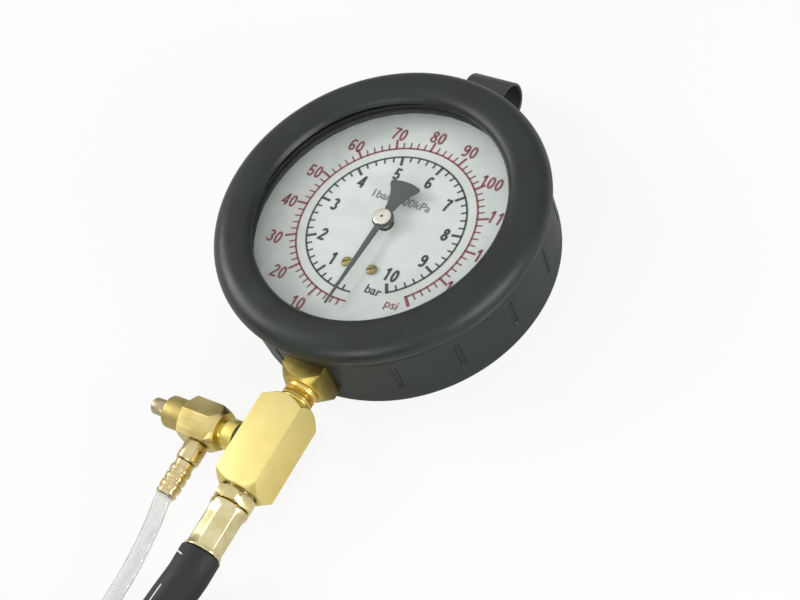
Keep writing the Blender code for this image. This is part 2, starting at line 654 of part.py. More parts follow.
def movement(brass, steel):
    """Plates, pillars, sector and pinion, hairspring, link and their pins."""
    pivot = Vector((0, -CENTRE_DISTANCE))
    top_of_back = BACK_PLATE + PLATE_THICKNESS
    bore = ARBOR_RADIUS + FIT_GAP

    # Pinion, cut on the arbor that carries the pointer
    teeth = gear_outline(PINION_TEETH, TOOTH_MODULE * PINION_TEETH / 2, 270 + 180 / PINION_TEETH,
                         PINION_TEETH, TOOTH_MODULE, 1)
    low = SECTOR_BASE - (PINION_LENGTH - SECTOR_THICKNESS) / 2
    gear = plate("pinion_arbor", teeth, low, low + PINION_LENGTH)
    shaft_top = POINTER_BASE + POINTER_THICKNESS + FIT_GAP
    combine(gear, disc("shaft", ARBOR_RADIUS, BACK_PLATE, shaft_top, 24), "UNION")
    seat(gear, steel)

    # Sector: toothed fan, hub and tail in one sheet
    pitch = 360 / SECTOR_TEETH_ROUND
    radius = TOOTH_MODULE * SECTOR_TEETH_ROUND / 2
    tail = TAIL_REST
    fan = gear_outline(SECTOR_TEETH_ROUND, radius, 90 + pitch, SECTOR_TEETH_CUT,
                      TOOTH_MODULE * 1.25, -1)
    last = 90 + pitch - (SECTOR_TEETH_CUT - 1) * pitch
    hub = 0.0022
    tail_end = polar(TAIL_ARM, tail)
    outline = fan + arc((0, 0), hub, last - 25, tail + 55, 4)
    outline += arc(tail_end, 0.0016, tail + 80, tail - 80, 7)
    outline += arc((0, 0), hub, tail - 55, 90 + pitch + 25 - 360, 4)
    sector = plate("sector_gear", outline, SECTOR_BASE, SECTOR_BASE + SECTOR_THICKNESS)
    combine(sector, disc("bore", bore, 0, 0.03, 24))
    pin_hole = disc("hole", PIVOT_PIN_RADIUS + FIT_GAP, 0, 0.03, 20)
    pin_hole.location = (*tail_end, 0)
    combine(sector, pin_hole)
    seat(sector, brass, location=(*pivot, 0))
    arbor = disc("sector_arbor", ARBOR_RADIUS, BACK_PLATE, FRONT_PLATE + PLATE_THICKNESS, 24)
    seat(arbor, steel, location=(*pivot, 0))

    # Link from the tail to the tube's tip, with a slot at the tip
    start = pivot + Vector(tail_end)
    goal = Vector(polar(TIP_PIN_RADIUS_FROM_CENTRE, TIP_ANGLE))
    along = goal - start
    reach = along.length
    slide = 2 * TAIL_ARM * math.sin(SECTOR_SWING / 2)
    slot_half = PIVOT_PIN_RADIUS + FIT_GAP + TAIL_ARM * (1 - math.cos(SECTOR_SWING / 2))
    eye = slot_half + 0.0008
    outline = arc((0, 0), 0.0016, 60, 300, 7)
    outline += [(reach - slide - eye, -LINK_HALF_WIDTH)]
    outline += arc((reach - slide, 0), eye, -90, -60, 2)[:1]
    outline += arc((reach, 0), eye, -90, 90, 7)
    outline += arc((reach - slide, 0), eye, 90, 120, 2)[:1]
    outline += [(reach - slide - eye, LINK_HALF_WIDTH)]
    link = plate("tip_link", outline, LINK_BASE, LINK_BASE + LINK_THICKNESS)
    combine(link, disc("hole", PIVOT_PIN_RADIUS + FIT_GAP, 0, 0.03, 20))
    slot = arc((reach, 0), slot_half, -90, 90, 7) + arc((reach - slide, 0), slot_half, 90, 270, 7)
    combine(link, plate("slot", slot, 0, 0.03))
    seat(link, steel, location=(*start, 0), rotation=(0, 0, math.atan2(along.y, along.x)))
    head = 0.0012
    low, high = SECTOR_BASE - FIT_GAP, LINK_BASE + LINK_THICKNESS + FIT_GAP
    outline = [(0, low - 0.0004), (head, low - 0.0004), (head, low), (PIVOT_PIN_RADIUS, low),
               (PIVOT_PIN_RADIUS, high), (head, high), (head, high + 0.0004), (0, high + 0.0004)]
    seat(turned("tail_pin", outline, 20), steel, location=(*start, 0))

    # Hairspring and its collet
    seat(ring("hairspring_collet", bore, 0.0017, HAIRSPRING_BASE, HAIRSPRING_BASE + SPRING_WIDTH, 12), brass)
    first, steps = 0.0017 + FIT_GAP + 0.0002, 16 * SPRING_TURNS
    strip = [polar(first + SPRING_PITCH * i / 16, 360 * i / 16) for i in range(steps + 1)]
    coil = plate("hairspring", strip_outline(strip, 0.0002), HAIRSPRING_BASE, HAIRSPRING_BASE + SPRING_WIDTH)
    seat(coil, steel)

    # Plates, pillars and screws
    pillars = ((-0.0068, 0.0052), (0.0068, 0.0052), (-0.0066, PLATE_BOTTOM + PILLAR_INSET))
    screws = ((-0.0028, PLATE_BOTTOM + SCREW_INSET), (0.0046, pivot.y + 0.0042))
    outline = [(-PLATE_HALF_WIDTH, PLATE_BOTTOM), (PLATE_HALF_WIDTH, PLATE_BOTTOM),
               (PLATE_HALF_WIDTH, PLATE_TOP - 0.002), (PLATE_HALF_WIDTH - 0.002, PLATE_TOP),
               (-PLATE_HALF_WIDTH + 0.002, PLATE_TOP), (-PLATE_HALF_WIDTH, PLATE_TOP - 0.002)]
    for name, base in (("movement_back_plate", BACK_PLATE), ("movement_front_plate", FRONT_PLATE)):
        sheet = plate(name, outline, base, base + PLATE_THICKNESS)
        for centre in ((0, 0), pivot):
            hole = disc("bore", bore, 0, 0.03, 24)
            hole.location = (*centre, 0)
            combine(sheet, hole)
        if base == BACK_PLATE:
            for centre in screws:
                hole = disc("bore", DIAL_SCREW_RADIUS + FIT_GAP, 0, 0.03, 10)
                hole.location = (*centre, 0)
                combine(sheet, hole)
        seat(sheet, brass)
    for i, centre in enumerate(pillars):
        post = disc(f"movement_pillar_{i + 1}", PILLAR_RADIUS, top_of_back + FIT_GAP, FRONT_PLATE - FIT_GAP, 12)
        seat(post, brass, location=(*centre, 0))
    for i, centre in enumerate(screws):
        head = top_of_back + FIT_GAP
        tip = SHELF_FACE - 0.0026
        outline = [(0, tip), (DIAL_SCREW_RADIUS, tip), (DIAL_SCREW_RADIUS, head), (DIAL_SCREW_HEAD, head),
                   (DIAL_SCREW_HEAD, head + 0.0008), (0, head + 0.0008)]
        seat(turned(f"movement_screw_{i + 1}", outline, 10), steel, location=(*centre, 0))
    return screws


def bourdon_tube(bronze, brass, steel):
    """The bent pressure tube, its closed tip and the pin for the link."""
    seat(tube_sweep("bourdon_tube", TUBE_START, TUBE_END, 24, hollow=TUBE_WALL), bronze)
    half = TUBE_THICK / 2 + FIT_GAP + 0.0009
    tall = TUBE_HIGH / 2 + FIT_GAP + 0.0009
    cap = block("tube_tip", (TUBE_BEND_RADIUS - half, -0.0048, STEM_HEIGHT - tall),
                (TUBE_BEND_RADIUS + half, -0.0008, STEM_HEIGHT + tall))
    cap.rotation_euler = (0, 0, math.radians(TUBE_END + 4))
    lug_top = LINK_BASE - FIT_GAP
    lug = block("lug", (TIP_PIN_RADIUS_FROM_CENTRE - 0.0019, -0.0019, lug_top - 0.0036),
                (TUBE_BEND_RADIUS + half - 0.0002, 0.0019, lug_top))
    turn = math.radians(TIP_ANGLE)
    cap.data.transform(Matrix.Rotation(math.radians(TUBE_END + 4), 4, "Z"))
    cap.rotation_euler = (0, 0, 0)
    lug.data.transform(Matrix.Rotation(turn, 4, "Z"))
    combine(cap, lug, "UNION")
    combine(cap, tube_sweep("pocket", TUBE_END + 8, TUBE_END - 1, 3, grow=FIT_GAP))
    place = polar(TIP_PIN_RADIUS_FROM_CENTRE, TIP_ANGLE)
    hole = disc("hole", PIVOT_PIN_RADIUS + FIT_GAP, lug_top - 0.0025, 0.03, 12)
    hole.location = (*place, 0)
    combine(cap, hole)
    seat(cap, brass)
    high = LINK_BASE + LINK_THICKNESS + FIT_GAP
    slot_half = PIVOT_PIN_RADIUS + FIT_GAP + TAIL_ARM * (1 - math.cos(SECTOR_SWING / 2))
    head = slot_half + 0.0003
    outline = [(0, lug_top - 0.0022), (PIVOT_PIN_RADIUS, lug_top - 0.0022), (PIVOT_PIN_RADIUS, high),
               (head, high), (head, high + 0.0004), (0, high + 0.0004)]
    seat(turned("tip_pin", outline, 12), steel, location=(*place, 0))


def socket(brass, steel, shelf_screws, stem):
    """Brass socket: shelf for the movement, block for the tube, square shank and threaded neck."""
    half = SHANK_FLATS / 2
    floor = CASE_BACK + CASE_WALL + FIT_GAP - STEM_HEIGHT
    body = block("socket", (-SOCKET_BLOCK_HALF, floor, SOCKET_BLOCK_TOP),
                 (SOCKET_BLOCK_HALF, half, SOCKET_BLOCK_END))
    shelf = block("shelf", (-SHELF_HALF, floor, SHELF_END),
                  (SHELF_HALF, SHELF_FACE - STEM_HEIGHT, SOCKET_BLOCK_TOP + 0.001))
    combine(body, shelf, "UNION")
    length = SOCKET_END - SOCKET_BLOCK_END + 0.002
    shank = wrench_bar("shank", 4, SHANK_FLATS, length, last_cone=SHANK_CONE)
    shank.location = (0, 0, SOCKET_END - length)
    combine(body, shank, "UNION")
    neck_end = TEE_START + NECK_ENGAGED
    combine(body, disc("neck", NECK_RADIUS, SOCKET_END - 0.002, neck_end, 24), "UNION")
    combine(body, disc("port", PORT_RADIUS, SOCKET_BLOCK_TOP + 0.0025, neck_end + 0.01, 12))
    pocket = tube_sweep("pocket", TUBE_START + 0.7, TUBE_START - 30, 5, grow=FIT_GAP)
    # Bring the pocket from the dial's frame into the stem's
    pocket.data.transform(Matrix.Rotation(math.radians(-90), 4, "X") @ Matrix.Translation((0, 0, -STEM_HEIGHT)))
    combine(body, pocket)
    for x, y in shelf_screws:
        hole = disc("hole", DIAL_SCREW_RADIUS + FIT_GAP, -0.0030, 0.01, 10)
        place = Matrix.Translation((x, y, SHELF_FACE - STEM_HEIGHT))
        hole.data.transform(Matrix.Rotation(math.radians(-90), 4, "X") @ place)
        combine(body, hole)
    for x in (-CASE_SCREW_X, CASE_SCREW_X):
        hole = disc("hole", CASE_SCREW_RADIUS + FIT_GAP, -0.02, 0.0040, 12)
        place = Matrix.Translation((x, -CASE_SCREW_FROM_CENTRE, floor))
        hole.data.transform(Matrix.Rotation(math.radians(-90), 4, "X") @ place)
        combine(body, hole)
    seat(body, brass, stem)
    for i, x in enumerate((-CASE_SCREW_X, CASE_SCREW_X)):
        head = BOOT_BACK
        outline = [(0, head - 0.0009), (CASE_SCREW_HEAD, head - 0.0009), (CASE_SCREW_HEAD, head),
                   (CASE_SCREW_RADIUS, head), (CASE_SCREW_RADIUS, STEM_HEIGHT + floor + 0.0037),
                   (0, STEM_HEIGHT + floor + 0.0037)]
        screw = turned(f"case_screw_{i + 1}", outline, 12)
        seat(screw, steel, location=(x, -CASE_SCREW_FROM_CENTRE, 0))


def tee(brass, stem):
    """Square tee block with turned ends and a side port for the valve."""
    body = wrench_bar("tee_block", 4, TEE_FLATS, TEE_LENGTH, TEE_CONE, TEE_CONE)
    bore = NECK_RADIUS + FIT_GAP
    combine(body, disc("top_port", bore, -0.01, NECK_ENGAGED + FIT_GAP, 20))
    combine(body, disc("bottom_port", bore, TEE_LENGTH - NECK_ENGAGED - FIT_GAP, TEE_LENGTH + 0.01, 20))
    combine(body, disc("passage", PORT_RADIUS * 1.5, 0.002, TEE_LENGTH - 0.002, 12))
    side = disc("side_port", STUB_RADIUS + FIT_GAP, TEE_FLATS / 2 - STUB_ENGAGED - FIT_GAP, 0.02, 20)
    side.rotation_euler = (0, math.radians(-90), 0)
    side.location = (0, 0, TEE_LENGTH / 2)
    combine(body, side)
    seat(body, brass, stem, location=(0, 0, TEE_START))


def crimped_ferrule(name, metal, parent, start):
    """A hose ferrule crimped to eight flats, with a rolled lip at each end."""
    inner = NIPPLE_TAIL_RADIUS + FIT_GAP
    around = 4 * FERRULE_FLATS

    def station(height, flat, full):
        points = []
        for i in range(around):
            angle = 2 * math.pi * i / around
            off = (angle + math.pi / FERRULE_FLATS) % (2 * math.pi / FERRULE_FLATS) - math.pi / FERRULE_FLATS
            radius = min(full, flat / math.cos(off))
            points.append((radius * math.cos(angle), radius * math.sin(angle), height))
        return points

    lip, flat = FERRULE_LIP_RADIUS, FERRULE_FLAT_RADIUS
    end = FERRULE_LENGTH
    outside = [(0.0, lip - 0.0003, lip - 0.0003), (0.0004, lip, lip), (0.0012, lip, lip),
               (0.0024, flat, lip), (end - 0.0020, flat, lip), (end - 0.0008, lip - 0.0001, lip - 0.0001),
               (end, lip - 0.0004, lip - 0.0004)]
    rings = [station(*row) for row in outside] + [station(end, inner, inner), station(0.0, inner, inner)]
    seat(swept(name, rings, closed=True), metal, parent, location=(0, 0, start))


def hose_nipple(name, metal, parent, start, thread_length):
    """Male thread, hexagon and the tail that the hose is crimped on."""
    hexagon = wrench_bar(name, 6, NIPPLE_HEX, NIPPLE_HEX_LENGTH, 0.0006, 0.0006, turn=30)
    middle = NIPPLE_HEX_LENGTH / 2
    tail_end = NIPPLE_HEX_LENGTH + FERRULE_LENGTH - 0.0020
    tail = NIPPLE_TAIL_RADIUS
    spindle = [(0, -thread_length), (NECK_RADIUS - 0.0006, -thread_length),
               (NECK_RADIUS, 0.0006 - thread_length), (NECK_RADIUS, middle), (tail, middle),
               (tail, tail_end), (0, tail_end)]
    combine(hexagon, turned("spindle", spindle, 20), "UNION")
    bore = disc("bore", PORT_RADIUS * 1.25, -thread_length - 0.001, tail_end + 0.001, 12)
    bore.rotation_euler = (0, 0, 0.1)
    combine(hexagon, bore)
    seat(hexagon, metal, parent, location=(0, 0, start))


def bleed_valve(brass, bright, champagne, rubber, steel, valve):
    """Valve body, cap, press button, poppet, spring and seal ring, on the valve's axis."""
    body = wrench_bar("valve_body", 6, VALVE_HEX, VALVE_HEX_LENGTH, VALVE_CONE, 0.0008, turn=30)
    body.data.transform(Matrix.Translation((0, 0, STUB_LENGTH)))
    combine(body, disc("stub", STUB_RADIUS, -STUB_ENGAGED, STUB_LENGTH + 0.002, 20), "UNION")
    combine(body, disc("inner_chamber", CHAMBER_RADIUS, -0.02, SEAT_AT, 16))
    combine(body, disc("seat_hole", SEAT_HOLE, SEAT_AT - 0.001, SEAT_AT + SEAT_WALL + 0.001, 12))
    combine(body, disc("outer_chamber", OUTER_CHAMBER, SEAT_AT + SEAT_WALL, VALVE_HEX_END + 0.01, 20))
    port = disc("drain_port", DRAIN_THREAD + FIT_GAP, 0.001, 0.02, 16)
    port.rotation_euler = (math.radians(90), 0, 0)
    port.location = (0, 0, DRAIN_AT)
    combine(body, port)
    seat(body, brass, valve)

    thread = OUTER_CHAMBER - FIT_GAP
    hole = BUTTON_RADIUS + FIT_GAP
    rim = 0.0005
    outline = [(hole, VALVE_HEX_END - CAP_THREAD), (thread, VALVE_HEX_END - CAP_THREAD), (thread, CAP_START),
               (CAP_RADIUS - rim, CAP_START), (CAP_RADIUS, CAP_START + rim), (CAP_RADIUS, CAP_END - rim),
               (CAP_RADIUS - rim, CAP_END), (hole, CAP_END)]
    seat(turned("valve_cap", outline, 24, closed=True), bright, valve)

    shoulder = SEAT_AT + SEAT_WALL + BUTTON_TRAVEL + 0.0010
    tip = CAP_END + BUTTON_STANDOUT
    poppet_top = SEAT_AT - FIT_GAP
    poppet_base = poppet_top - POPPET_HEIGHT
    outline = [(0, poppet_base + 0.0005), (STEM_PIN_RADIUS, poppet_base + 0.0005), (STEM_PIN_RADIUS, shoulder),
               (BUTTON_RADIUS, shoulder + 0.0012), (BUTTON_RADIUS, tip - 0.0005),
               (BUTTON_RADIUS - 0.0005, tip), (0, tip)]
    seat(turned("bleed_button", outline, 16), champagne, valve)
    nest = STEM_PIN_RADIUS + FIT_GAP
    outline = [(0, poppet_base), (POPPET_RADIUS, poppet_base), (POPPET_RADIUS, poppet_top),
               (nest, poppet_top), (nest, poppet_base + 0.0002), (0, poppet_base + 0.0002)]
    seat(turned("bleed_poppet", outline, 16), rubber, valve)

    spring_top = poppet_base - FIT_GAP
    count = SPRING_COILS * 8
    low, high = spring_top - SPRING_LENGTH + SPRING_WIRE, spring_top - SPRING_WIRE
    turns = [(*polar(SPRING_RADIUS, 45 * i), low + (high - low) * i / count) for i in range(count + 1)]
    seat(round_bar("poppet_spring", turns, SPRING_WIRE, 0), steel, valve)
    retainer = spring_top - SPRING_LENGTH - BUTTON_TRAVEL - FIT_GAP
    seat(ring("spring_seat", 0.0011, CHAMBER_RADIUS - FIT_GAP, retainer - 0.0010, retainer, 16), steel, valve)

    wire = [(STUB_RADIUS + FIT_GAP + RING_TUBE + x, FIT_GAP + RING_TUBE + y)
            for x, y in arc((0, 0), RING_TUBE, 0, 360, 9)[:-1]]
    seat(turned("valve_seal", wire, 20, closed=True), rubber, valve)


def drain_fitting(brass, bright, drain):
    """The threaded nipple for the drain tube and the sleeve crimped round the tube's end."""
    outline = [(0, -DRAIN_ENGAGED), (DRAIN_THREAD, -DRAIN_ENGAGED), (DRAIN_THREAD, 0.0),
               (DRAIN_COLLAR_RADIUS - 0.0004, 0.0), (DRAIN_COLLAR_RADIUS, 0.0004),
               (DRAIN_COLLAR_RADIUS, DRAIN_COLLAR - 0.0006), (DRAIN_COLLAR_RADIUS - 0.0004, DRAIN_COLLAR),
               (DRAIN_TAIL, DRAIN_COLLAR), (DRAIN_TAIL, DRAIN_COLLAR + SLEEVE_LENGTH - 0.001),
               (0, DRAIN_COLLAR + SLEEVE_LENGTH - 0.001)]
    nipple = turned("drain_nipple", outline, 20)
    combine(nipple, disc("bore", 0.0008, -0.01, 0.03, 8))
    seat(nipple, brass, drain)
    inner, base = DRAIN_TAIL + FIT_GAP, DRAIN_COLLAR + FIT_GAP
    slim = SLEEVE_RADIUS - 0.0003
    outline = [(inner, base), (slim, base), (SLEEVE_RADIUS, base + 0.0004)]
    pitch = (SLEEVE_LENGTH - 0.0030) / SLEEVE_GROOVES
    for i in range(SLEEVE_GROOVES):
        at = base + 0.0014 + pitch * (i + 0.5)
        outline += [(SLEEVE_RADIUS, at - pitch * 0.30), (slim, at - pitch * 0.14), (slim, at + pitch * 0.14),
                    (SLEEVE_RADIUS, at + pitch * 0.30)]
    outline += [(SLEEVE_RADIUS, base + SLEEVE_LENGTH - 0.0010), (slim - 0.0003, base + SLEEVE_LENGTH),
                (inner, base + SLEEVE_LENGTH)]
    seat(turned("drain_sleeve", outline, 20, closed=True), bright, drain)


def hanging_hook(black_steel):
    """Bent strip: foot inside the boot, leg through its slot, round bend and free back leg."""
    low = HOOK_BASE + HOOK_STRIP / 2
    high = low + 2 * HOOK_BEND
    foot = CASE_RADIUS + FIT_GAP + HOOK_STRIP / 2
    corner = 0.0012
    line = [(foot, high - HOOK_FOOT), (foot, high - corner - 0.0003)]
    line += arc((foot + corner, high - corner), corner, 180, 90, 4)
    line += arc((HOOK_REACH, low + HOOK_BEND), HOOK_BEND, 90, -90, 13)
    line += [(HOOK_FREE_END, low)]
    strip = plate("hanging_hook", strip_outline(line, HOOK_STRIP), -HOOK_WIDTH / 2, HOOK_WIDTH / 2)
    # The outline lies in the Y-Z plane, and the strip's width along X
    turn = Matrix(((0, 0, 1, 0), (1, 0, 0, 0), (0, 1, 0, 0), (0, 0, 0, 1)))
    strip.data.transform(turn)
    seat(strip, black_steel)


def band(name, inner, outer, high, centre, degrees, material):
    """A tie round a stretch of a coil, between the coil's two radii and up to its height."""
    t = TIE_THICKNESS
    near = math.sqrt(inner ** 2 - (TIE_WIDTH / 2) ** 2) - FIT_GAP
    far = outer + FIT_GAP
    top = high + FIT_GAP
    inside = [(far, t), (far, top), (near, top), (near, t)]
    outside = [(far + t, 0), (far + t, top + t), (near - t, top + t), (near - t, 0)]
    rings = []
    for across, points in ((-0.5, inside), (0.5, inside), (0.5, outside), (-0.5, outside)):
        rings.append([(x, across * TIE_WIDTH, z) for x, z in points])
    seat(swept(name, rings, closed=True), material, location=centre, rotation=(0, 0, math.radians(degrees)))


def pressure_hose(rubber, metal, nylon, stem):
    """The black hose: lead, the turned coil, the tail that lies on it, tie and end fitting."""
    left = HOSE_RING_X - HOSE_RING_RADIUS
    lead = [(0, -HOSE_START - 0.0012, STEM_HEIGHT), (-0.0002, -0.1092, 0.0110), (-0.0009, -0.1130, 0.0098),
            (-0.0020, -0.1170, 0.0087), (-0.0032, -0.1220, 0.0076), (-0.0040, -0.1290, HOSE_RING_HEIGHT),
            (left, -0.1420, HOSE_RING_HEIGHT), (left, -0.1600, HOSE_RING_HEIGHT),
            (left, -0.1760, HOSE_RING_HEIGHT), (left, HOSE_RING_Y + FIT_GAP, HOSE_RING_HEIGHT)]
    points = [Vector((0, -HOSE_START, STEM_HEIGHT))] + smooth_route(lead, 0.006)
    seat(round_bar("pressure_hose", points, HOSE_RADIUS), rubber)
    section = arc((HOSE_RING_RADIUS, HOSE_RING_HEIGHT), HOSE_RADIUS, 22.5, 382.5, 9)[:-1]
    coil = turned("hose_coil", section, 30, closed=True, degrees=HOSE_RING_TURN)
    seat(coil, rubber, location=(HOSE_RING_X, HOSE_RING_Y, 0), rotation=(0, 0, math.pi))
    over = HOSE_RING_HEIGHT + 2 * (HOSE_RADIUS + FIT_GAP)
    begin = HOSE_RING_TURN + 180 + math.degrees(FIT_GAP / HOSE_RING_RADIUS)
    climb = ((begin, HOSE_RING_HEIGHT), (begin + 1, HOSE_RING_HEIGHT), (begin + 8, HOSE_RING_HEIGHT + 0.0003),
             (492, 0.0098), (502, 0.0137), (512, 0.0172), (522, over - 0.0004), (535, over), (550, over),
             (565, over))
    route = [(HOSE_RING_X + polar(HOSE_RING_RADIUS, a)[0], HOSE_RING_Y + polar(HOSE_RING_RADIUS, a)[1], z)
             for a, z in climb]
    points = [Vector(route[0])] + smooth_route(route[1:], 0.010)
    onward = math.radians(climb[-1][0] + 90)
    points.append(points[-1] + 0.0012 * Vector((math.cos(onward), math.sin(onward), 0)))
    seat(round_bar("hose_tail", points, HOSE_RADIUS), rubber)
    last = math.radians(climb[-1][0])
    end = axis_empty("hose_end", points[-1], (math.radians(90), 0, last + math.pi))
    crimped_ferrule_end(metal, end)
    band("hose_tie", HOSE_RING_RADIUS - HOSE_RADIUS, HOSE_RING_RADIUS + HOSE_RADIUS, over + HOSE_RADIUS,
         (HOSE_RING_X, HOSE_RING_Y, 0), 190.0, nylon)


def crimped_ferrule_end(metal, end):
    """The hose's far end: a second ferrule and nipple, its thread outwards."""
    length = FERRULE_LENGTH + FIT_GAP
    crimped_ferrule("hose_end_ferrule", metal, end, FIT_GAP)
    flip = axis_empty("hose_end_flip", (0, 0, length + FIT_GAP + NIPPLE_HEX_LENGTH), (math.pi, 0, 0))
    flip.parent = end
    hose_nipple("hose_end_nipple", metal, flip, 0.0, 0.0095)


def drain_tube(clear, nylon):
    """The clear tube: lead down to the surface, and its coil with a tie."""
    radius = DRAIN_TUBE_RADIUS
    flat = COIL_BASE + radius
    turn_x = TUBE_RING_X + TUBE_RING_RADIUS + (TUBE_ROWS - 1) * radius
    outer = TUBE_RING_RADIUS + TUBE_ROWS * (radius + 0.00005)
    inner = TUBE_RING_RADIUS - TUBE_ROWS * (radius + 0.00005)
    meet = math.sqrt(outer ** 2 - (outer - 2 * radius - 0.0002) ** 2)
    lead = [(DRAIN_X, -DRAIN_END - FIT_GAP - 0.0010, STEM_HEIGHT), (DRAIN_X + 0.0001, -0.0985, 0.0110),
            (DRAIN_X + 0.0001, -0.1030, 0.0093), (DRAIN_X - 0.0006, -0.1100, 0.0065),
            (DRAIN_X - 0.0013, -0.1175, 0.0043), (DRAIN_X - 0.0016, -0.1260, flat + 0.0002),
            (DRAIN_X - 0.0018, -0.1400, flat), (turn_x, -0.1560, flat),
            (turn_x, TUBE_RING_Y + meet + FIT_GAP, flat)]
    points = [Vector((DRAIN_X, -DRAIN_END - FIT_GAP, STEM_HEIGHT))] + smooth_route(lead, 0.0045)
    seat(round_bar("drain_tube", points, radius), clear)
    height = 2 * radius * TUBE_LAYERS + 0.0001
    base, top, bevel = COIL_BASE, COIL_BASE + height, radius * 0.6
    outline = [(inner + bevel, base), (outer - bevel, base), (outer, base + bevel), (outer, top - bevel),
               (outer - bevel, top), (inner + bevel, top), (inner, top - bevel), (inner, base + bevel)]
    coil = turned("drain_tube_coil", outline, 36, closed=True)
    seat(coil, clear, location=(TUBE_RING_X, TUBE_RING_Y, 0))
    band("drain_tube_tie", inner, outer, top, (TUBE_RING_X, TUBE_RING_Y, 0), 250.0, nylon)


def tail_rest_angle():
    """Angle of the sector's tail at rest, which puts the arm square to the link at mid-swing."""
    target = Vector(polar(TIP_PIN_RADIUS_FROM_CENTRE, TIP_ANGLE)) - Vector((0, -CENTRE_DISTANCE))
    bearing = math.degrees(math.atan2(target.y, target.x))
    square = bearing - math.degrees(math.acos(TAIL_ARM / target.length))
    return square - math.degrees(SECTOR_SWING) / 2


def main():
    for old in list(bpy.data.objects):
        bpy.data.objects.remove(old)

    rubber = finish("boot_rubber", (0.035, 0.040, 0.038), 0.62)
    hose_rubber = finish("hose_rubber", (0.030, 0.032, 0.031), 0.70)
    black_steel = finish("black_painted_steel", (0.020, 0.022, 0.021), 0.38)
    zinc = finish("zinc_plated_steel", (0.60, 0.60, 0.58), 0.35, 1.0)
    glass = finish("lens_glass", (0.95, 0.97, 0.97), 0.03, 0.0, 0.18)
    clear = finish("clear_pvc", (0.90, 0.93, 0.93), 0.12, 0.0, 0.45)
    enamel = finish("dial_enamel", (0.78, 0.82, 0.80), 0.55)
    black_ink = finish("black_ink", (0.045, 0.050, 0.048), 0.60)
    red_ink = finish("red_ink", (0.42, 0.07, 0.08), 0.60)
    black_paint = finish("pointer_black", (0.030, 0.033, 0.032), 0.45)
    bright_brass = finish("bright_brass", (0.86, 0.72, 0.26), 0.30, 1.0)
    plain_brass = finish("plain_brass", (0.62, 0.46, 0.18), 0.28, 1.0)
    champagne = finish("champagne_plate", (0.70, 0.62, 0.46), 0.35, 1.0)
    bronze = finish("tube_bronze", (0.55, 0.36, 0.18), 0.35, 1.0)
    silver = finish("nickel_plate", (0.72, 0.71, 0.66), 0.25, 1.0)
    dark_plastic = finish("dark_plastic", (0.04, 0.045, 0.043), 0.5)
    nylon = finish("black_nylon", (0.02, 0.02, 0.02), 0.5)

    stem = axis_empty("stem_axis", (0, 0, STEM_HEIGHT), (math.radians(90), 0, 0))
    valve = axis_empty("valve_axis", (-TEE_FLATS / 2, -TEE_CENTRE, STEM_HEIGHT), (0, math.radians(-90), 0))
    drain = axis_empty("drain_axis", (DRAIN_X, -DRAIN_START, STEM_HEIGHT), (math.radians(90), 0, 0))

    boot(rubber)
    case(black_steel)
    window(black_steel, rubber, glass, dark_plastic)
    dial(enamel, black_ink, red_ink, plain_brass)
    pointer(black_paint, silver)
    shelf_screws = movement(plain_brass, zinc)
    bourdon_tube(bronze, plain_brass, zinc)
    socket(plain_brass, zinc, shelf_screws, stem)
    tee(bright_brass, stem)
    hose_nipple("hose_nipple", champagne, stem, NIPPLE_START, NECK_ENGAGED)
    crimped_ferrule("hose_ferrule", champagne, stem, FERRULE_START)
    bleed_valve(plain_brass, bright_brass, champagne, rubber, zinc, valve)
    drain_fitting(plain_brass, bright_brass, drain)
    hanging_hook(black_steel)
    pressure_hose(hose_rubber, champagne, nylon, stem)
    drain_tube(clear, nylon)


TAIL_REST = tail_rest_angle()
main()
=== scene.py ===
import math

import bmesh
import bpy
import numpy as np
from mathutils import Matrix, Vector


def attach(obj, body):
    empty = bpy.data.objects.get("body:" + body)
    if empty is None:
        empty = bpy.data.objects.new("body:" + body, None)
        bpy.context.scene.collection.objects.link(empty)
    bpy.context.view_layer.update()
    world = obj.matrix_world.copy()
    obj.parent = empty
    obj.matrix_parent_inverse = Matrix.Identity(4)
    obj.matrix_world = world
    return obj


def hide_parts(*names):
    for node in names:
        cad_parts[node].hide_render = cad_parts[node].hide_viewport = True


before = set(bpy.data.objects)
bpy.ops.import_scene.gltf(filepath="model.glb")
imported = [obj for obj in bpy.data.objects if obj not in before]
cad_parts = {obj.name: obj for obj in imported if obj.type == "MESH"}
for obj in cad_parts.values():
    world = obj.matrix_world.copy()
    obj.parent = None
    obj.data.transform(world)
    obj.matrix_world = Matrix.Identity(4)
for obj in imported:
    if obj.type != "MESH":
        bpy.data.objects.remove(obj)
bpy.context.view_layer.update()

mm = 0.001
scene = bpy.context.scene
print("frame loaded:", len(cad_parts), "nodes")


# small helpers

def linearColour(hexCode):
    channels = [int(hexCode[i:i + 2], 16) / 255 for i in (1, 3, 5)]
    return tuple(c / 12.92 if c <= 0.04045 else ((c + 0.055) / 1.055) ** 2.4 for c in channels) + (1.0,)


def addNode(tree, kind, inputs=None, **settings):
    # an input gets a value, or a link from a socket or from a node's first output
    node = tree.nodes.new(kind if kind.startswith(("Geometry", "NodeGroup")) else "ShaderNode" + kind)
    for key, value in settings.items():
        setattr(node, key, value)
    for name, value in (inputs or {}).items():
        if isinstance(value, bpy.types.Node):
            value = value.outputs[0]
        if isinstance(value, bpy.types.NodeSocket):
            tree.links.new(value, node.inputs[name])
        else:
            node.inputs[name].default_value = value
    return node


def pick(settings, names):
    return [settings[name] for name in names.split()]


def addObject(name, data):
    made = bpy.data.objects.new(name, data)
    scene.collection.objects.link(made)
    return made


def cleanNormals(piece):
    bm = bmesh.new()
    bm.from_mesh(piece.data)
    bmesh.ops.remove_doubles(bm, verts=bm.verts, dist=1e-7)
    bmesh.ops.recalc_face_normals(bm, faces=bm.faces)
    bm.to_mesh(piece.data)
    bm.free()
    return piece


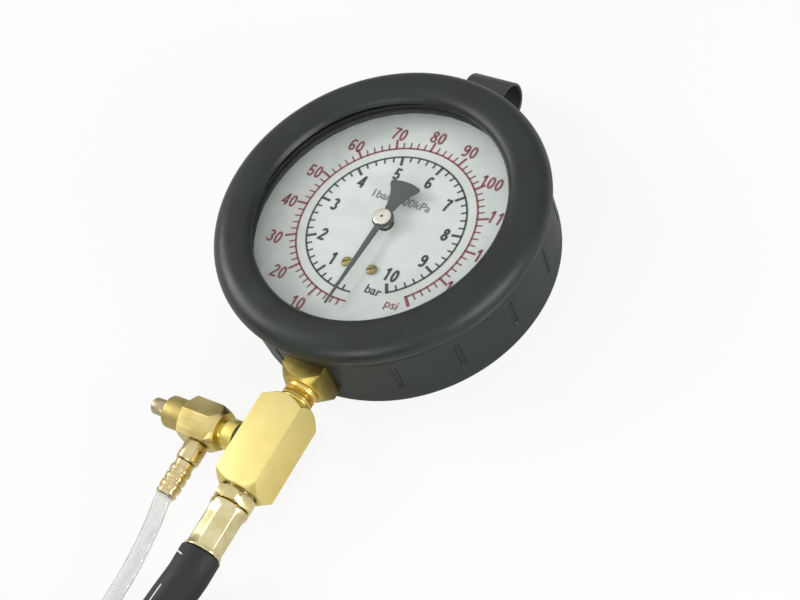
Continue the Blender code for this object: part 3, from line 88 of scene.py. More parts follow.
def meshObject(name, points, faces):
    mesh = bpy.data.meshes.new(name)
    mesh.from_pydata([tuple(p) for p in points], [], faces)
    return cleanNormals(addObject(name, mesh))


def gridFaces(rows, count, closeRows=True, closeCount=True):
    # quads between the neighbours of a grid of points, which may close on itself either way
    faces = []
    for r in range(rows if closeRows else rows - 1):
        here, there = r * count, (r + 1) % rows * count
        for i in range(count if closeCount else count - 1):
            j = (i + 1) % count
            faces.append((here + i, there + i, there + j, here + j))
    return faces


def lathe(name, outline, steps=96, ring=False, shape=None):
    # outline: (radius, height) in mm round Z; shape(angle, radius, height) may move a point in or out
    points = []
    for s in range(steps):
        angle = 2 * math.pi * s / steps
        for radius, height in outline:
            r = shape(angle, radius, height) if shape and radius > 0 else radius
            points.append((r * mm * math.cos(angle), r * mm * math.sin(angle), height * mm))
    return meshObject(name, points, gridFaces(steps, len(outline), closeCount=ring))


def rod(radius, low, high, steps=64):
    return lathe("rod", [(0, low), (radius, low), (radius, high), (0, high)], steps)


def prism(name, outline, base, top):
    # outline in mm, pushed up from base to top
    count = len(outline)
    points = [(x * mm, y * mm, z * mm) for z in (base, top) for x, y in outline]
    ends = [tuple(range(count))[::-1], tuple(range(count, 2 * count))]
    sides = [(i, (i + 1) % count, count + (i + 1) % count, count + i) for i in range(count)]
    return meshObject(name, points, ends + sides)


def block(x, y, z):
    # a plain box; x, y and z are pairs in mm
    return prism("block", [(x[0], y[0]), (x[1], y[0]), (x[1], y[1]), (x[0], y[1])], *z)


def bakedMesh(piece):
    bpy.context.view_layer.update()
    return bpy.data.meshes.new_from_object(piece.evaluated_get(bpy.context.evaluated_depsgraph_get()))


def bakeModifiers(piece, spent=None):
    shape = bakedMesh(piece)
    piece.modifiers.clear()
    piece.data = shape
    if spent:
        bpy.data.objects.remove(spent)
    return piece


def combine(piece, tool, operation="DIFFERENCE"):
    step = piece.modifiers.new(operation, "BOOLEAN")
    step.operation = operation
    step.solver = "EXACT"
    step.object = tool
    return bakeModifiers(piece, tool)


def softenEdges(piece, width, segments=2, angle=30):
    step = piece.modifiers.new("edge", "BEVEL")
    step.width = width * mm
    step.segments = segments
    step.limit_method = "ANGLE"
    step.angle_limit = math.radians(angle)
    step.harden_normals = False
    return bakeModifiers(piece)


def joinPieces(name, pieces):
    bm = bmesh.new()
    for piece in pieces:
        bm.from_mesh(piece.data)
        bpy.data.objects.remove(piece)
    mesh = bpy.data.meshes.new(name)
    bm.to_mesh(mesh)
    bm.free()
    return addObject(name, mesh)


def dress(piece, material, node, slot, place=None, body="gauge", sharp=35):
    # last step of a piece: its place goes into the mesh, then finish, shading and body
    if place is not None:
        piece.data.transform(place)
    piece.data.materials.clear()
    piece.data.materials.append(material)
    piece.data.polygons.foreach_set("material_index", [0] * len(piece.data.polygons))
    piece.data.shade_smooth()
    piece.data.set_sharp_from_angle(angle=math.radians(sharp))
    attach(piece, body)
    if node:
        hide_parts(node)


def oval(cx, cy, rx, ry, start, end, count=24):
    angles = np.radians(np.linspace(start, end, count))
    return [(cx + rx * math.cos(a), cy + ry * math.sin(a)) for a in angles]


def arc(cx, cy, radius, start, end, count):
    return oval(cx, cy, radius, radius, start, end, count)


def easeStep(value, start, end):
    t = min(1.0, max(0.0, (value - start) / (end - start)))
    return t * t * (3 - 2 * t)


def wrenchBar(name, sides, flats, length, firstCone, lastCone, turn=0.0, faceShare=0.97):
    # bar stock turned down at the ends, so that each flat ends in a curved edge
    corner = flats / 2 / math.cos(math.pi / sides)
    start = turn + 180 / sides
    bar = prism(name, arc(0, 0, corner, start, start + 360, sides + 1)[:-1], 0, length)
    past, face = corner * 1.02, flats / 2 * faceShare
    profile = [(0, 0), (face, 0), (past, firstCone), (past, length - lastCone), (face, length), (0, length)]
    return combine(bar, lathe("turnedEnvelope", profile, 128), "INTERSECT")


def placed(x=0, y=0, z=0):
    return Matrix.Translation((x * mm, y * mm, z * mm))


def turned(degrees, axis="Z"):
    return Matrix.Rotation(math.radians(degrees), 4, axis)


# where the stem, the bleed valve and the drain fitting lie; +Z runs outwards along each
stemHeight = 11.3
onStem = placed(0, 0, stemHeight) @ turned(90, "X")
onValve = placed(-6.7, -72.25, stemHeight) @ turned(-90, "Y")
onDrain = placed(-20.0, -78.55, stemHeight) @ turned(90, "X")


# camera, light and floor

camera = {
    "lens": 87.196, "at": (0.27543, -0.22255, 0.43958), "right": (0.83035, 0.48176, -0.28003),
    "down": (0.27382, -0.79045, -0.54792), "ahead": (-0.48532, 0.37829, -0.78827),
}
cameraData = bpy.data.cameras.new("camera")
cameraData.lens = camera["lens"]
cameraData.sensor_width = 36
cameraData.clip_start = 0.01
scene.camera = addObject("camera", cameraData)
axes = (camera["right"], [-v for v in camera["down"]], [-v for v in camera["ahead"]])
scene.camera.matrix_world = Matrix.Translation(camera["at"]) @ Matrix(axes).transposed().to_4x4()
scene.view_settings.view_transform = "Standard"

lamps = {
    "key": {"from": (-0.80, -0.16, 0.52), "size": 0.50, "power": 4.0},
    "side": {"from": (0.78, -0.10, 0.20), "size": 0.40, "power": 3.8},
    "low": {"from": (0.10, -0.78, 0.34), "size": 0.40, "power": 1.9},
}
lampTarget = Vector((0, -0.04, 0))
skyLight = {"plain": 0.57, "horizon": 0.16, "zenith": 1.0}
floorLook = {"colour": "#f1f2f1", "glow": 0.86, "half": 3, "drop": 0.0002}

for lampName, lampSet in lamps.items():
    lamp = bpy.data.lights.new(lampName, "AREA")
    lamp.shape = "RECTANGLE"
    lamp.size = lampSet["size"]
    lamp.size_y = lampSet["size"] * 0.6
    lamp.energy = lampSet["power"]
    lampObject = addObject(lampName, lamp)
    lampObject.location = lampSet["from"]
    aim = lampTarget - Vector(lampSet["from"])
    lampObject.rotation_euler = aim.to_track_quat("-Z", "Y").to_euler()

scene.world = bpy.data.worlds.new("studio")
scene.world.use_nodes = True
sky = scene.world.node_tree
sky.nodes.clear()
rays = addNode(sky, "LightPath").outputs
skyPoint = addNode(sky, "TexCoord").outputs["Generated"]
upwards = addNode(sky, "SeparateXYZ", {0: skyPoint}).outputs["Z"]
# what metal sees: a pale dome, darker towards the horizon
dome = addNode(sky, "MapRange",
               {1: -0.05, 2: 0.75, 3: skyLight["horizon"], 4: skyLight["zenith"], 0: upwards})
level = addNode(sky, "Mix", {2: skyLight["plain"], 0: rays["Is Glossy Ray"], 3: dome}, data_type="FLOAT")
seen = addNode(sky, "Mix", {3: 1.0, 0: rays["Is Camera Ray"], 2: level}, data_type="FLOAT")
glow = addNode(sky, "Background", {0: (1, 1, 1, 1), 1: seen})
addNode(sky, "OutputWorld", {0: glow})

far = floorLook["half"]
floorCorners = [(-far, -far, 0), (far, -far, 0), (far, far, 0), (-far, far, 0)]
floor = meshObject("floor", floorCorners, [(0, 1, 2, 3)])
floor.location.z = -floorLook["drop"]
floorPaint = bpy.data.materials.new("paleFloor")
floorPaint.use_nodes = True
tree = floorPaint.node_tree
tree.nodes.clear()
rays = addNode(tree, "LightPath").outputs
matt = addNode(tree, "BsdfDiffuse", {0: linearColour(floorLook["colour"])})
glow = addNode(tree, "Emission", {0: (1, 1, 1, 1), 1: 1.0})
share = addNode(tree, "Math", {1: floorLook["glow"], 0: rays["Is Camera Ray"]}, operation="MULTIPLY")
mixed = addNode(tree, "MixShader", {0: share, 1: matt, 2: glow})
addNode(tree, "OutputMaterial", {0: mixed})
floor.data.materials.append(floorPaint)
print("camera, light and floor ready")


# finishes

def newFinish(name, colour, roughness, metallic=0.0):
    material = bpy.data.materials.new(name)
    material.use_nodes = True
    shader = material.node_tree.nodes["Principled BSDF"]
    shader.inputs["Base Color"].default_value = linearColour(colour)
    shader.inputs["Roughness"].default_value = roughness
    shader.inputs["Metallic"].default_value = metallic
    return material, material.node_tree, shader


def surfaceNoise(tree, size, stretch=(1, 1, 1), detail=2.0):
    # noise whose grains are about size mm, read in object coordinates
    where = addNode(tree, "TexCoord").outputs["Object"]
    fit = addNode(tree, "Mapping", {"Scale": stretch, "Vector": where})
    return addNode(tree, "TexNoise", {"Scale": 1 / (size * mm), "Detail": detail, "Vector": fit})


def addBump(tree, shader, source, depth, strength):
    bump = addNode(tree, "Bump", {"Strength": strength, "Distance": depth * mm, "Height": source})
    tree.links.new(bump.outputs[0], shader.inputs["Normal"])


def twoTone(tree, shader, source, dark, pale, low=0.35, high=0.65):
    spread = addNode(tree, "MapRange", {1: low, 2: high, 0: source})
    tone = addNode(tree, "Mix", {6: linearColour(dark), 7: linearColour(pale), 0: spread}, data_type="RGBA")
    tree.links.new(tone.outputs[2], shader.inputs["Base Color"])


def roughFrom(tree, shader, source, low, high):
    spread = addNode(tree, "MapRange", {1: 0.3, 2: 0.7, 3: low, 4: high, 0: source})
    tree.links.new(spread.outputs[0], shader.inputs["Roughness"])


def mouldedRubber(name, dark, pale, low, high, grain):
    # nitrile rubber from a mould: grey bloom in soft patches, broad dull highlights, fine spark-eroded grain
    material, tree, shader = newFinish(name, dark, low)
    patches = surfaceNoise(tree, 14, detail=4)
    twoTone(tree, shader, patches, dark, pale)
    roughFrom(tree, shader, patches, low, high)
    # grain drawn coarser than the real 0.05 mm so that it shows
    addBump(tree, shader, surfaceNoise(tree, grain), 0.02, 0.35)
    shader.inputs["IOR"].default_value = 1.46
    return material


def thinCoat(name, dark, pale, roughness, grain, depth, strength=0.4):
    # paint, ink or moulded skin: one faint grain gives both its unevenness and its tone
    material, tree, shader = newFinish(name, dark, roughness)
    skin = surfaceNoise(tree, grain)
    twoTone(tree, shader, skin, dark, pale)
    addBump(tree, shader, skin, depth, strength)
    return material


def turnedBrass(name, dark, pale, low, high, stretch, lines=0.25, depth=0.004):
    # free-machining brass and other bare or plated metals, with fine tool marks round or along the piece
    material, tree, shader = newFinish(name, dark, low, 1.0)
    twoTone(tree, shader, surfaceNoise(tree, 5, detail=3), dark, pale)
    marks = surfaceNoise(tree, lines, stretch)
    roughFrom(tree, shader, marks, low, high)
    addBump(tree, shader, marks, depth, 0.5)
    return material


def toneBeyond(material, colour, first, last, axis):
    # the finish turns to another colour between first and last, in mm along an axis or out from the arbor
    tree = material.node_tree
    shader = tree.nodes["Principled BSDF"]
    before = shader.inputs["Base Color"].links[0].from_socket
    where = addNode(tree, "TexCoord").outputs["Object"]
    split = addNode(tree, "SeparateXYZ", {0: where}).outputs
    if axis == "arbor":
        flat = addNode(tree, "CombineXYZ", {0: split["X"], 1: split["Y"]})
        reach = addNode(tree, "VectorMath", {0: flat}, operation="LENGTH").outputs["Value"]
    else:
        reach = split[axis]
    past = addNode(tree, "MapRange", {1: first * mm, 2: last * mm, 0: reach})
    tone = addNode(tree, "Mix", {7: linearColour(colour), 0: past, 6: before}, data_type="RGBA")
    tree.links.new(tone.outputs[2], shader.inputs["Base Color"])


def dialEnamel():
    # baked white enamel on aluminium sheet: cool white, nearly flat, faint mottling
    material, tree, shader = newFinish("bakedDialEnamel", "#e9f0ec", 0.42)
    twoTone(tree, shader, surfaceNoise(tree, 6, detail=3), "#e6eee9", "#eff6f2")
    addBump(tree, shader, surfaceNoise(tree, 0.5), 0.004, 0.4)
    return material


def lensGlass():
    # float glass: a faint reflection that grows towards the edge of view, the rest passes straight through
    material, tree, shader = newFinish("clearLensGlass", "#ffffff", 0.04, 1.0)
    facing = addNode(tree, "LayerWeight", {"Blend": 0.5}).outputs["Facing"]
    rim = addNode(tree, "Math", {1: 4.0, 0: facing}, operation="POWER")
    share = addNode(tree, "Math", {1: 0.9, 2: 0.02, 0: rim}, operation="MULTIPLY_ADD")
    tree.links.new(share.outputs[0], shader.inputs["Alpha"])
    return material


def clearVinyl():
    # plasticised PVC tube: milky clear, soft gloss, faint streaks from extrusion
    material, tree, shader = newFinish("clearVinylTube", "#eef0ef", 0.16)
    streaks = surfaceNoise(tree, 1.4, (1, 0.06, 1))
    roughFrom(tree, shader, streaks, 0.10, 0.28)
    addBump(tree, shader, streaks, 0.02, 0.4)
    twoTone(tree, shader, streaks, "#c9cdcb", "#f3f5f4", 0.3, 0.6)
    shader.inputs["Transmission Weight"].default_value = 0.55
    shader.inputs["IOR"].default_value = 1.4
    facing = addNode(tree, "LayerWeight", {"Blend": 0.5}).outputs["Facing"]
    wall = addNode(tree, "MapRange", {1: 0.1, 2: 0.75, 3: 0.42, 4: 0.8, 0: facing})
    tree.links.new(wall.outputs[0], shader.inputs["Alpha"])
    return material


# black electrocoat on pressed steel: an even satin film with a faint orange peel
electrocoat = {"grain": 0.9, "depth": 0.012, "strength": 0.5}
# printed ink: matt, slightly uneven in density
ink = {"roughness": 0.6, "grain": 0.8, "depth": 0.004}
bootRubber = mouldedRubber("nitrileBootRubber", "#141a17", "#1c2420", 0.36, 0.50, 0.35)
hoseRubber = mouldedRubber("extrudedHoseRubber", "#151817", "#1d2120", 0.56, 0.68, 0.5)
sealRubber = mouldedRubber("blackSealRubber", "#1f2221", "#292c2b", 0.5, 0.6, 0.3)
caseCoat = thinCoat("blackElectrocoat", "#1b1e1d", "#222524", 0.24, **electrocoat)
hookCoat = thinCoat("satinBlackHookCoat", "#2b2d2c", "#333635", 0.42, **electrocoat)
pointerCoat = thinCoat("pointerLacquer", "#38403c", "#404844", 0.42, **electrocoat)
blackInk = thinCoat("blackDialInk", "#262b2a", "#303635", **ink)
redInk = thinCoat("redDialInk", "#8e353f", "#9f4850", **ink)
greyInk = thinCoat("greyDialInk", "#757b79", "#848a88", **ink)
whiteInk = thinCoat("whiteHoseInk", "#dfe2e2", "#f0f2f2", **ink)
# moulded nylon: black with a waxy sheen and fine grain
nylon = thinCoat("blackNylonTie", "#1b1c1c", "#262727", 0.4, 0.6, 0.01)
# extruded bar is satin with faint lines along it, turned pieces have rings, and the socket's brass is
# darkened with painted shade near the boot
satinBrass = turnedBrass("satinExtrudedBrass", "#e6d58a", "#ead992", 0.44, 0.56, (1, 0.06, 1), 0.25, 0.003)
# the socket's dark base colours are painted shade from the boot over the shank, not the brass's own colour
shadedSocketBrass = turnedBrass("turnedSocketBrassPaintedShade", "#6b602c", "#84763f", 0.32, 0.44, (1, 0.1, 1), 0.8, 0.003)
valveBrass = turnedBrass("valveBodyBrass", "#cab571", "#d9c686", 0.28, 0.42, (0.06, 1, 1), 0.4, 0.003)
capBrass = turnedBrass("valveCapBrass", "#aa9a5a", "#b8a76a", 0.40, 0.52, (1, 0.2, 0.2), 0.5, 0.006)
# plate, and the drain fitting's bright brass: paler and smoother, with crisp reflections
ferrulePlate = turnedBrass("champagneZincPlate", "#d3c694", "#e3d8ad", 0.15, 0.24, (1, 0.06, 1), 0.8, 0.001)
nipplePlate = turnedBrass("nippleZincPlate", "#cdbf88", "#dccf9c", 0.18, 0.28, (1, 0.06, 1), 0.8, 0.001)
drainBrass = turnedBrass("drainFittingBrass", "#c9b684", "#dac99c", 0.18, 0.30, (1, 0.3, 1), 0.8, 0.001)
nickelPlate = turnedBrass("nickelPlate", "#d9d6c9", "#e6e3d8", 0.24, 0.34, (1, 1, 1), 0.8, 0.001)
# tarnish leaves the button's plate brownish and dull
buttonPlate = turnedBrass("tarnishedButtonPlate", "#a99a7c", "#b9aa8c", 0.32, 0.44, (1, 0.2, 0.2), 0.6,
                          0.003)
# reddish bronze for the hidden tube, dull yellow brass for the dial's screws, grey zinc on small steel
phosphorBronze = turnedBrass("phosphorBronze", "#b98a55", "#c79a66", 0.28, 0.40, (1, 1, 1))
screwBrass = turnedBrass("dullScrewBrass", "#93834f", "#b3a468", 0.34, 0.5, (1, 1, 1), 0.5, 0.002)
springSteel = turnedBrass("zincPlatedSteel", "#bdbdb9", "#cfcfcb", 0.24, 0.36, (1, 1, 1), 0.3)
enamel = dialEnamel()
glass = lensGlass()
vinyl = clearVinyl()
toneBeyond(valveBrass, "#e8d67c", -14.6, -14.2, "X")   # the stub is as pale as the tee
toneBeyond(shadedSocketBrass, "#a8974f", -49.0, -52.4, "Y")   # painted shade from the boot fades out along the shank, away from the boot's edge
toneBeyond(shadedSocketBrass, "#ead27e", -52.0, -53.4, "Y")   # and the threaded neck is bright
toneBeyond(nickelPlate, "#2c2b29", 0.44, 0.36, "arbor")   # painted shade in the boss's dimple
print("finishes ready")


# hose and drain tube

def smoothRoute(points, spacing):
    # evenly spaced points on a smooth curve through the route, in metres
    route = [Vector(p) for p in points]
    route = [2 * route[0] - route[1]] + route + [2 * route[-1] - route[-2]]
    fine = []
    for a, b, c, d in zip(route, route[1:], route[2:], route[3:]):
        square, cube = 2 * a - 5 * b + 4 * c - d, 3 * b - a - 3 * c + d
        for t in np.arange(24) / 24:
            fine.append(0.5 * (2 * b + (c - a) * t + square * t * t + cube * t ** 3))
    fine.append(route[-2])
    steps = [0.0]
    for near, far in zip(fine, fine[1:]):
        steps.append(steps[-1] + (far - near).length)
    goals = np.linspace(0, steps[-1], max(2, round(steps[-1] / spacing)) + 1)
    columns = [np.interp(goals, steps, [p[axis] for p in fine]) for axis in range(3)]
    return [Vector(p) for p in zip(*columns)]


def pathLength(points):
    return sum((b - a).length for a, b in zip(points, points[1:]))


def roundCord(name, points, radius, material, resolution, nodes):
    curve = bpy.data.curves.new(name, "CURVE")
    curve.dimensions = "3D"
    curve.bevel_depth = radius * mm
    curve.bevel_resolution = resolution
    curve.use_fill_caps = True
    spline = curve.splines.new("POLY")
    spline.points.add(len(points) - 1)
    for knot, point in zip(spline.points, points):
        knot.co = (*point, 1.0)
    spline.use_smooth = True
    curve.materials.append(material)
    made = addObject(name, curve)
    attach(made, "gauge")
    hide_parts(*nodes)
    return made


# radii and places in mm, the start in m; the routes below are in m too
hose = {"radius": 5.9, "ringRadius": 62.0, "ringX": 58.0, "ringY": -190.0, "turn": 295.0, "base": 1.0}
hoseStart, stemZ = 0.1067, stemHeight * mm
hoseZ = (hose["base"] + hose["radius"]) * mm
hoseOver = hoseZ + 2 * (hose["radius"] + 0.3) * mm
hoseLeft = (hose["ringX"] - hose["ringRadius"]) * mm
ringEnd = 180 + hose["turn"]
hoseLast = ringEnd + 90


def onHoseRing(degrees, height):
    x, y = arc(hose["ringX"], hose["ringY"], hose["ringRadius"], degrees, degrees, 1)[0]
    return Vector((x * mm, y * mm, height))


hoseLead = smoothRoute([
    (0, -hoseStart - 0.0012, stemZ), (-0.0002, -0.1092, 0.0110), (-0.0009, -0.1130, 0.0098),
    (-0.0020, -0.1170, 0.0087), (-0.0032, -0.1220, 0.0076), (-0.0040, -0.1290, hoseZ),
    (hoseLeft, -0.1420, hoseZ), (hoseLeft, -0.1600, hoseZ), (hoseLeft, -0.1760, hoseZ),
    (hoseLeft, -0.1897, hoseZ)], 0.0025)
hoseRing = [onHoseRing(angle, hoseZ) for angle in np.arange(180, ringEnd, 3.0)]
# after the flat turn the hose climbs over its own start
hoseClimb = smoothRoute([onHoseRing(ringEnd + further, height) for further, height in (
    (0, hoseZ), (1.3, hoseZ), (8.3, hoseZ + 0.0003), (17, 0.0098), (27, 0.0137), (37, 0.0172),
    (47, hoseOver - 0.0004), (60, hoseOver), (75, hoseOver), (90, hoseOver))], 0.0035)
hoseTangent = turned(hoseLast + 90) @ Vector((1, 0, 0))
hosePoints = [Vector((0, -hoseStart, stemZ))] + hoseLead + hoseRing + hoseClimb
hosePoints.append(hoseClimb[-1] + 0.0012 * hoseTangent)
hoseLength = pathLength(hosePoints)
pressureHose = roundCord("pressureHose", hosePoints, hose["radius"], hoseRubber, 8,
                         ["pressure_hose", "hose_coil", "hose_tail"])

tube = {"radius": 2.4, "ringX": -53.4, "ringY": -188.0, "ringRadius": 31.85, "pitch": 4.9, "base": 1.0}
tubeLow = (tube["base"] + tube["radius"]) * mm
tubeHigh = tubeLow + (2 * tube["radius"] + 0.05) * mm


def tubeTurns():
    # three turns inwards on the floor, a step up, and the rest outwards on top of them
    points = []
    for degrees in np.arange(0, 2030, 7.5):
        layerIn = easeStep(degrees, 300, 360) + easeStep(degrees, 660, 720)
        layerOut = easeStep(degrees, 1260, 1320) + easeStep(degrees, 1620, 1680)
        radius = tube["ringRadius"] - tube["pitch"] * (layerIn - layerOut)
        height = tubeLow + (tubeHigh - tubeLow) * easeStep(degrees, 960, 1020)
        x, y = arc(tube["ringX"], tube["ringY"], radius, -degrees, -degrees, 1)[0]
        points.append(Vector((x * mm, y * mm, height)))
    return points


tubeX, tubeStart = -0.0200, 0.09585
tubeTurnX = (tube["ringX"] + tube["ringRadius"]) * mm
tubeLead = smoothRoute([
    (tubeX, -tubeStart - 0.0010, stemZ), (tubeX + 0.0001, -0.0985, 0.0110),
    (tubeX + 0.0001, -0.1030, 0.0093), (tubeX - 0.0006, -0.1100, 0.0065), (tubeX - 0.0013, -0.1175, 0.0043),
    (tubeX - 0.0016, -0.1260, tubeLow + 0.0002), (tubeX - 0.0018, -0.1400, tubeLow),
    (tubeTurnX, -0.1560, tubeLow), (tubeTurnX, -0.1720, tubeLow), (tubeTurnX, -0.1865, tubeLow)], 0.002)
tubePoints = [Vector((tubeX, -tubeStart, stemZ))] + tubeLead + tubeTurns()
tubeLength = pathLength(tubePoints)
drainTube = roundCord("drainTube", tubePoints, tube["radius"], vinyl, 5, ["drain_tube", "drain_tube_coil"])
print("hose", round(hoseLength, 3), "m, drain tube", round(tubeLength, 3), "m")

# bands across the coils: inner and outer reach from the coil's centre, top of the bundle, place round it
tie = {"width": 8.0, "thick": 0.7, "slack": 0.3, "headLong": 4.4, "headWide": 4.0, "headHigh": 0.25}
ties = {
    "hoseTie": {"inner": 56.1, "outer": 67.9, "high": hoseOver / mm + hose["radius"], "centre": hose,
                "turn": 190, "node": "hose_tie"},
    "drainTubeTie": {"inner": 19.65, "outer": 34.35, "high": 10.7, "centre": tube,
                     "turn": 250, "node": "drain_tube_tie"},
}


def cableTie(name, band):
    # nylon band with a ratchet head on its top
    half, t = tie["width"] / 2, tie["thick"]
    near = math.sqrt(band["inner"] ** 2 - half ** 2) - tie["slack"]
    far, top = band["outer"] + tie["slack"], band["high"] + tie["slack"]
    inside = [(far, t), (far, top), (near, top), (near, t)]
    outside = [(far + t, 0), (far + t, top + t), (near - t, top + t), (near - t, 0)]
    loops = ((-half, inside), (half, inside), (half, outside), (-half, outside))
    points = [(r * mm, x * mm, z * mm) for x, side in loops for r, z in side]
    strap = softenEdges(meshObject("strap", points, gridFaces(4, 4)), 0.3, 3)
    middle, headX, headY = (near + far) / 2, tie["headLong"] / 2, tie["headWide"] / 2
    head = block((middle - headX, middle + headX), (-headY, headY),
                 (top + t - 0.1, top + t + tie["headHigh"]))
    softenEdges(head, 0.15, 2)
    place = placed(band["centre"]["ringX"], band["centre"]["ringY"]) @ turned(band["turn"])
    dress(joinPieces(name, [strap, head]), nylon, band["node"], "black_nylon", place)


for tieName, tieBand in ties.items():
    cableTie(tieName, tieBand)


# geometry node trees for what repeats

def newTree(name, inputs):
    # whole numbers become integer inputs, and every tree also takes a finish
    group = bpy.data.node_groups.new(name, "GeometryNodeTree")
    for label, value in inputs.items():
        kind = "NodeSocketInt" if isinstance(value, int) else "NodeSocketFloat"
        group.interface.new_socket(label, in_out="INPUT", socket_type=kind).default_value = value
    group.interface.new_socket("Finish", in_out="INPUT", socket_type="NodeSocketMaterial")
    group.interface.new_socket("Geometry", in_out="OUTPUT", socket_type="NodeSocketGeometry")
    return group, addNode(group, "NodeGroupInput").outputs


def finishTree(group, shape, finish):
    real = addNode(group, "GeometryNodeRealizeInstances", {0: shape})
    coated = addNode(group, "GeometryNodeSetMaterial", {"Geometry": real, "Material": finish})
    addNode(group, "NodeGroupOutput", {0: coated})
    return group


def blocksRoundAxisTree():
    # small blocks set at even steps round Z and repeated in rows along it
    group, get = newTree("blocksRoundAxis", {
        "Count": 12, "First Angle": 0.0, "Step Angle": 0.5, "Radius": 0.01, "Length": 0.001, "Width": 0.001,
        "Height": 0.001, "Level": 0.0, "Rows": 1, "Row Step": 0.001})
    size = addNode(group, "CombineXYZ", {0: get["Length"], 1: get["Width"], 2: get["Height"]})
    cube = addNode(group, "GeometryNodeMeshCube", {"Size": size})
    half = addNode(group, "Math", {1: 0.5, 0: get["Length"]}, operation="MULTIPLY")
    reach = addNode(group, "Math", {0: half, 1: get["Radius"]}, operation="ADD")
    offset = addNode(group, "CombineXYZ", {0: reach, 2: get["Level"]})
    moved = addNode(group, "GeometryNodeTransform", {"Geometry": cube, "Translation": offset})
    total = addNode(group, "Math", {0: get["Count"], 1: get["Rows"]}, operation="MULTIPLY")
    spots = addNode(group, "GeometryNodeMeshLine", {"Offset": (0, 0, 0), "Count": total})
    index = addNode(group, "GeometryNodeInputIndex")
    row = addNode(group, "Math", {0: index, 1: get["Count"]}, operation="DIVIDE")
    whole = addNode(group, "Math", {0: row}, operation="FLOOR")
    lift = addNode(group, "Math", {0: whole, 1: get["Row Step"]}, operation="MULTIPLY")
    rise = addNode(group, "CombineXYZ", {2: lift})
    raised = addNode(group, "GeometryNodeSetPosition", {"Geometry": spots, "Offset": rise})
    swing = addNode(group, "Math", {0: index, 1: get["Step Angle"], 2: get["First Angle"]},
                    operation="MULTIPLY_ADD")
    turn = addNode(group, "CombineXYZ", {2: swing})
    copies = addNode(group, "GeometryNodeInstanceOnPoints",
                     {"Points": raised, "Instance": moved, "Rotation": turn})
    return finishTree(group, copies, get["Finish"])


def screwThreadTree():
    # one ridge wound round Z, square on its corner in section, for a cut thread
    group, get = newTree("screwThread", {"Turns": 5.0, "Radius": 0.005, "Length": 0.005, "Ridge": 0.0005})
    helix = addNode(group, "GeometryNodeCurveSpiral", {
        "Resolution": 48, "Rotations": get["Turns"], "Start Radius": get["Radius"],
        "End Radius": get["Radius"], "Height": get["Length"]})
    profile = addNode(group, "GeometryNodeCurvePrimitiveCircle", {"Resolution": 4, "Radius": get["Ridge"]})
    ridge = addNode(group, "GeometryNodeCurveToMesh",
                    {"Fill Caps": True, "Curve": helix, "Profile Curve": profile})
    return finishTree(group, ridge, get["Finish"])


def grow(name, group, values):
    # runs a tree with named values and keeps the result as a plain mesh
    piece = meshObject(name, [(0, 0, 0)], [])
    step = piece.modifiers.new("grow", "NODES")
    step.node_group = group
    for item in group.interface.items_tree:
        if item.item_type == "SOCKET" and item.in_out == "INPUT" and item.name in values:
            step[item.identifier] = values[item.name]
    return cleanNormals(bakeModifiers(piece))


blocks = blocksRoundAxisTree()
thread = screwThreadTree()


def cutThread(radius, low, length, turns, finish):
    ridge = grow("threadRidge", thread, {"Turns": turns, "Radius": radius * mm, "Length": length * mm,
                                         "Ridge": 0.5 * mm, "Finish": finish})
    ridge.data.transform(placed(z=low))
    return ridge


print("geometry node trees ready")


# dial: ticks, arcs and numerals

dial = {"face": 20.0, "ink": 0.07, "lift": 0.06, "zero": 274.5, "line": 0.52, "clear": 0.05,
        "digitHeight": 4.15, "digitStep": 0.60}
inkBase = dial["face"] + dial["lift"]
perBar, psiPerBar = 33.36, 14.5038   # degrees of dial for one bar, and the units' ratio
# each scale: degrees from number to number, arc, ticks long and short, and its word's size, place and weight
scales = {
    "bar": {"ink": blackInk, "slot": "black_ink", "step": perBar, "steps": 10, "unit": 1, "numbers": 10,
            "edge": 24.0, "side": -1, "tick": (3.3, 2.0), "width": (0.78, 0.44), "endWidth": 0.936,
            "past": 0.9, "pen": 0.172, "radius": (18.9, 17.5), "word": (4.0, 8.2, -21.0, 0.03),
            "nudge": {"2": (0.4, -0.8), "3": (0.4, -0.3), "10": (0.7, 0.2)}},
    "psi": {"ink": redInk, "slot": "red_ink", "step": 10 * perBar / psiPerBar, "steps": 14, "unit": 10,
            "numbers": 13, "edge": 26.6, "side": 1, "tick": (3.65, 2.25), "width": (0.66, 0.38),
            "endWidth": 0.924, "past": 0.8, "pen": 0.146, "radius": (32.0, 32.0),
            "word": (3.9, 15.6, -23.9, -0.01),
            "nudge": {"10": (-1.2, -1.6), "20": (-1.1, -0.6), "30": (-1.3, -0.6), "40": (-0.8, -0.3),
                      "50": (-0.8, -1.3), "70": (0.4, 0.4), "90": (-0.9, 0.8), "110": (1.3, 0.3),
                      "120": (1.7, 0.0), "130": (1.6, 0.4)}},
}


def ticks(scale, count, first, step, reach, width):
    # radial ticks from just off the scale's arc, on the side where its numbers are
    radius = scale["edge"] + dial["clear"] if scale["side"] > 0 else scale["edge"] - reach
    return grow("ticks", blocks, {
        "Count": count, "First Angle": math.radians(first), "Step Angle": -math.radians(step),
        "Radius": radius * mm, "Length": (reach - dial["clear"]) * mm, "Width": width * mm,
        "Height": dial["ink"] * mm, "Level": (inkBase + dial["ink"] / 2) * mm, "Finish": scale["ink"]})


def lettering(name, words, size, x, y, bold=0.0):
    font = bpy.data.curves.new(name, "FONT")
    font.body = words
    font.size = size * mm
    font.align_x = "CENTER"
    font.align_y = "CENTER"
    font.offset = bold * mm
    font.extrude = dial["ink"] * mm / 2
    font.resolution_u = 6
    text = addObject(name, font)
    mesh = bakedMesh(text)
    bpy.data.objects.remove(text)
    spots = np.array([v.co for v in mesh.vertices])
    middle = (spots.min(0) + spots.max(0)) / 2
    lift = placed(x, y, inkBase + dial["ink"] / 2 + 0.01)
    mesh.transform(lift @ Matrix.Translation((-middle[0], -middle[1], 0)))
    return cleanNormals(addObject(name, mesh))


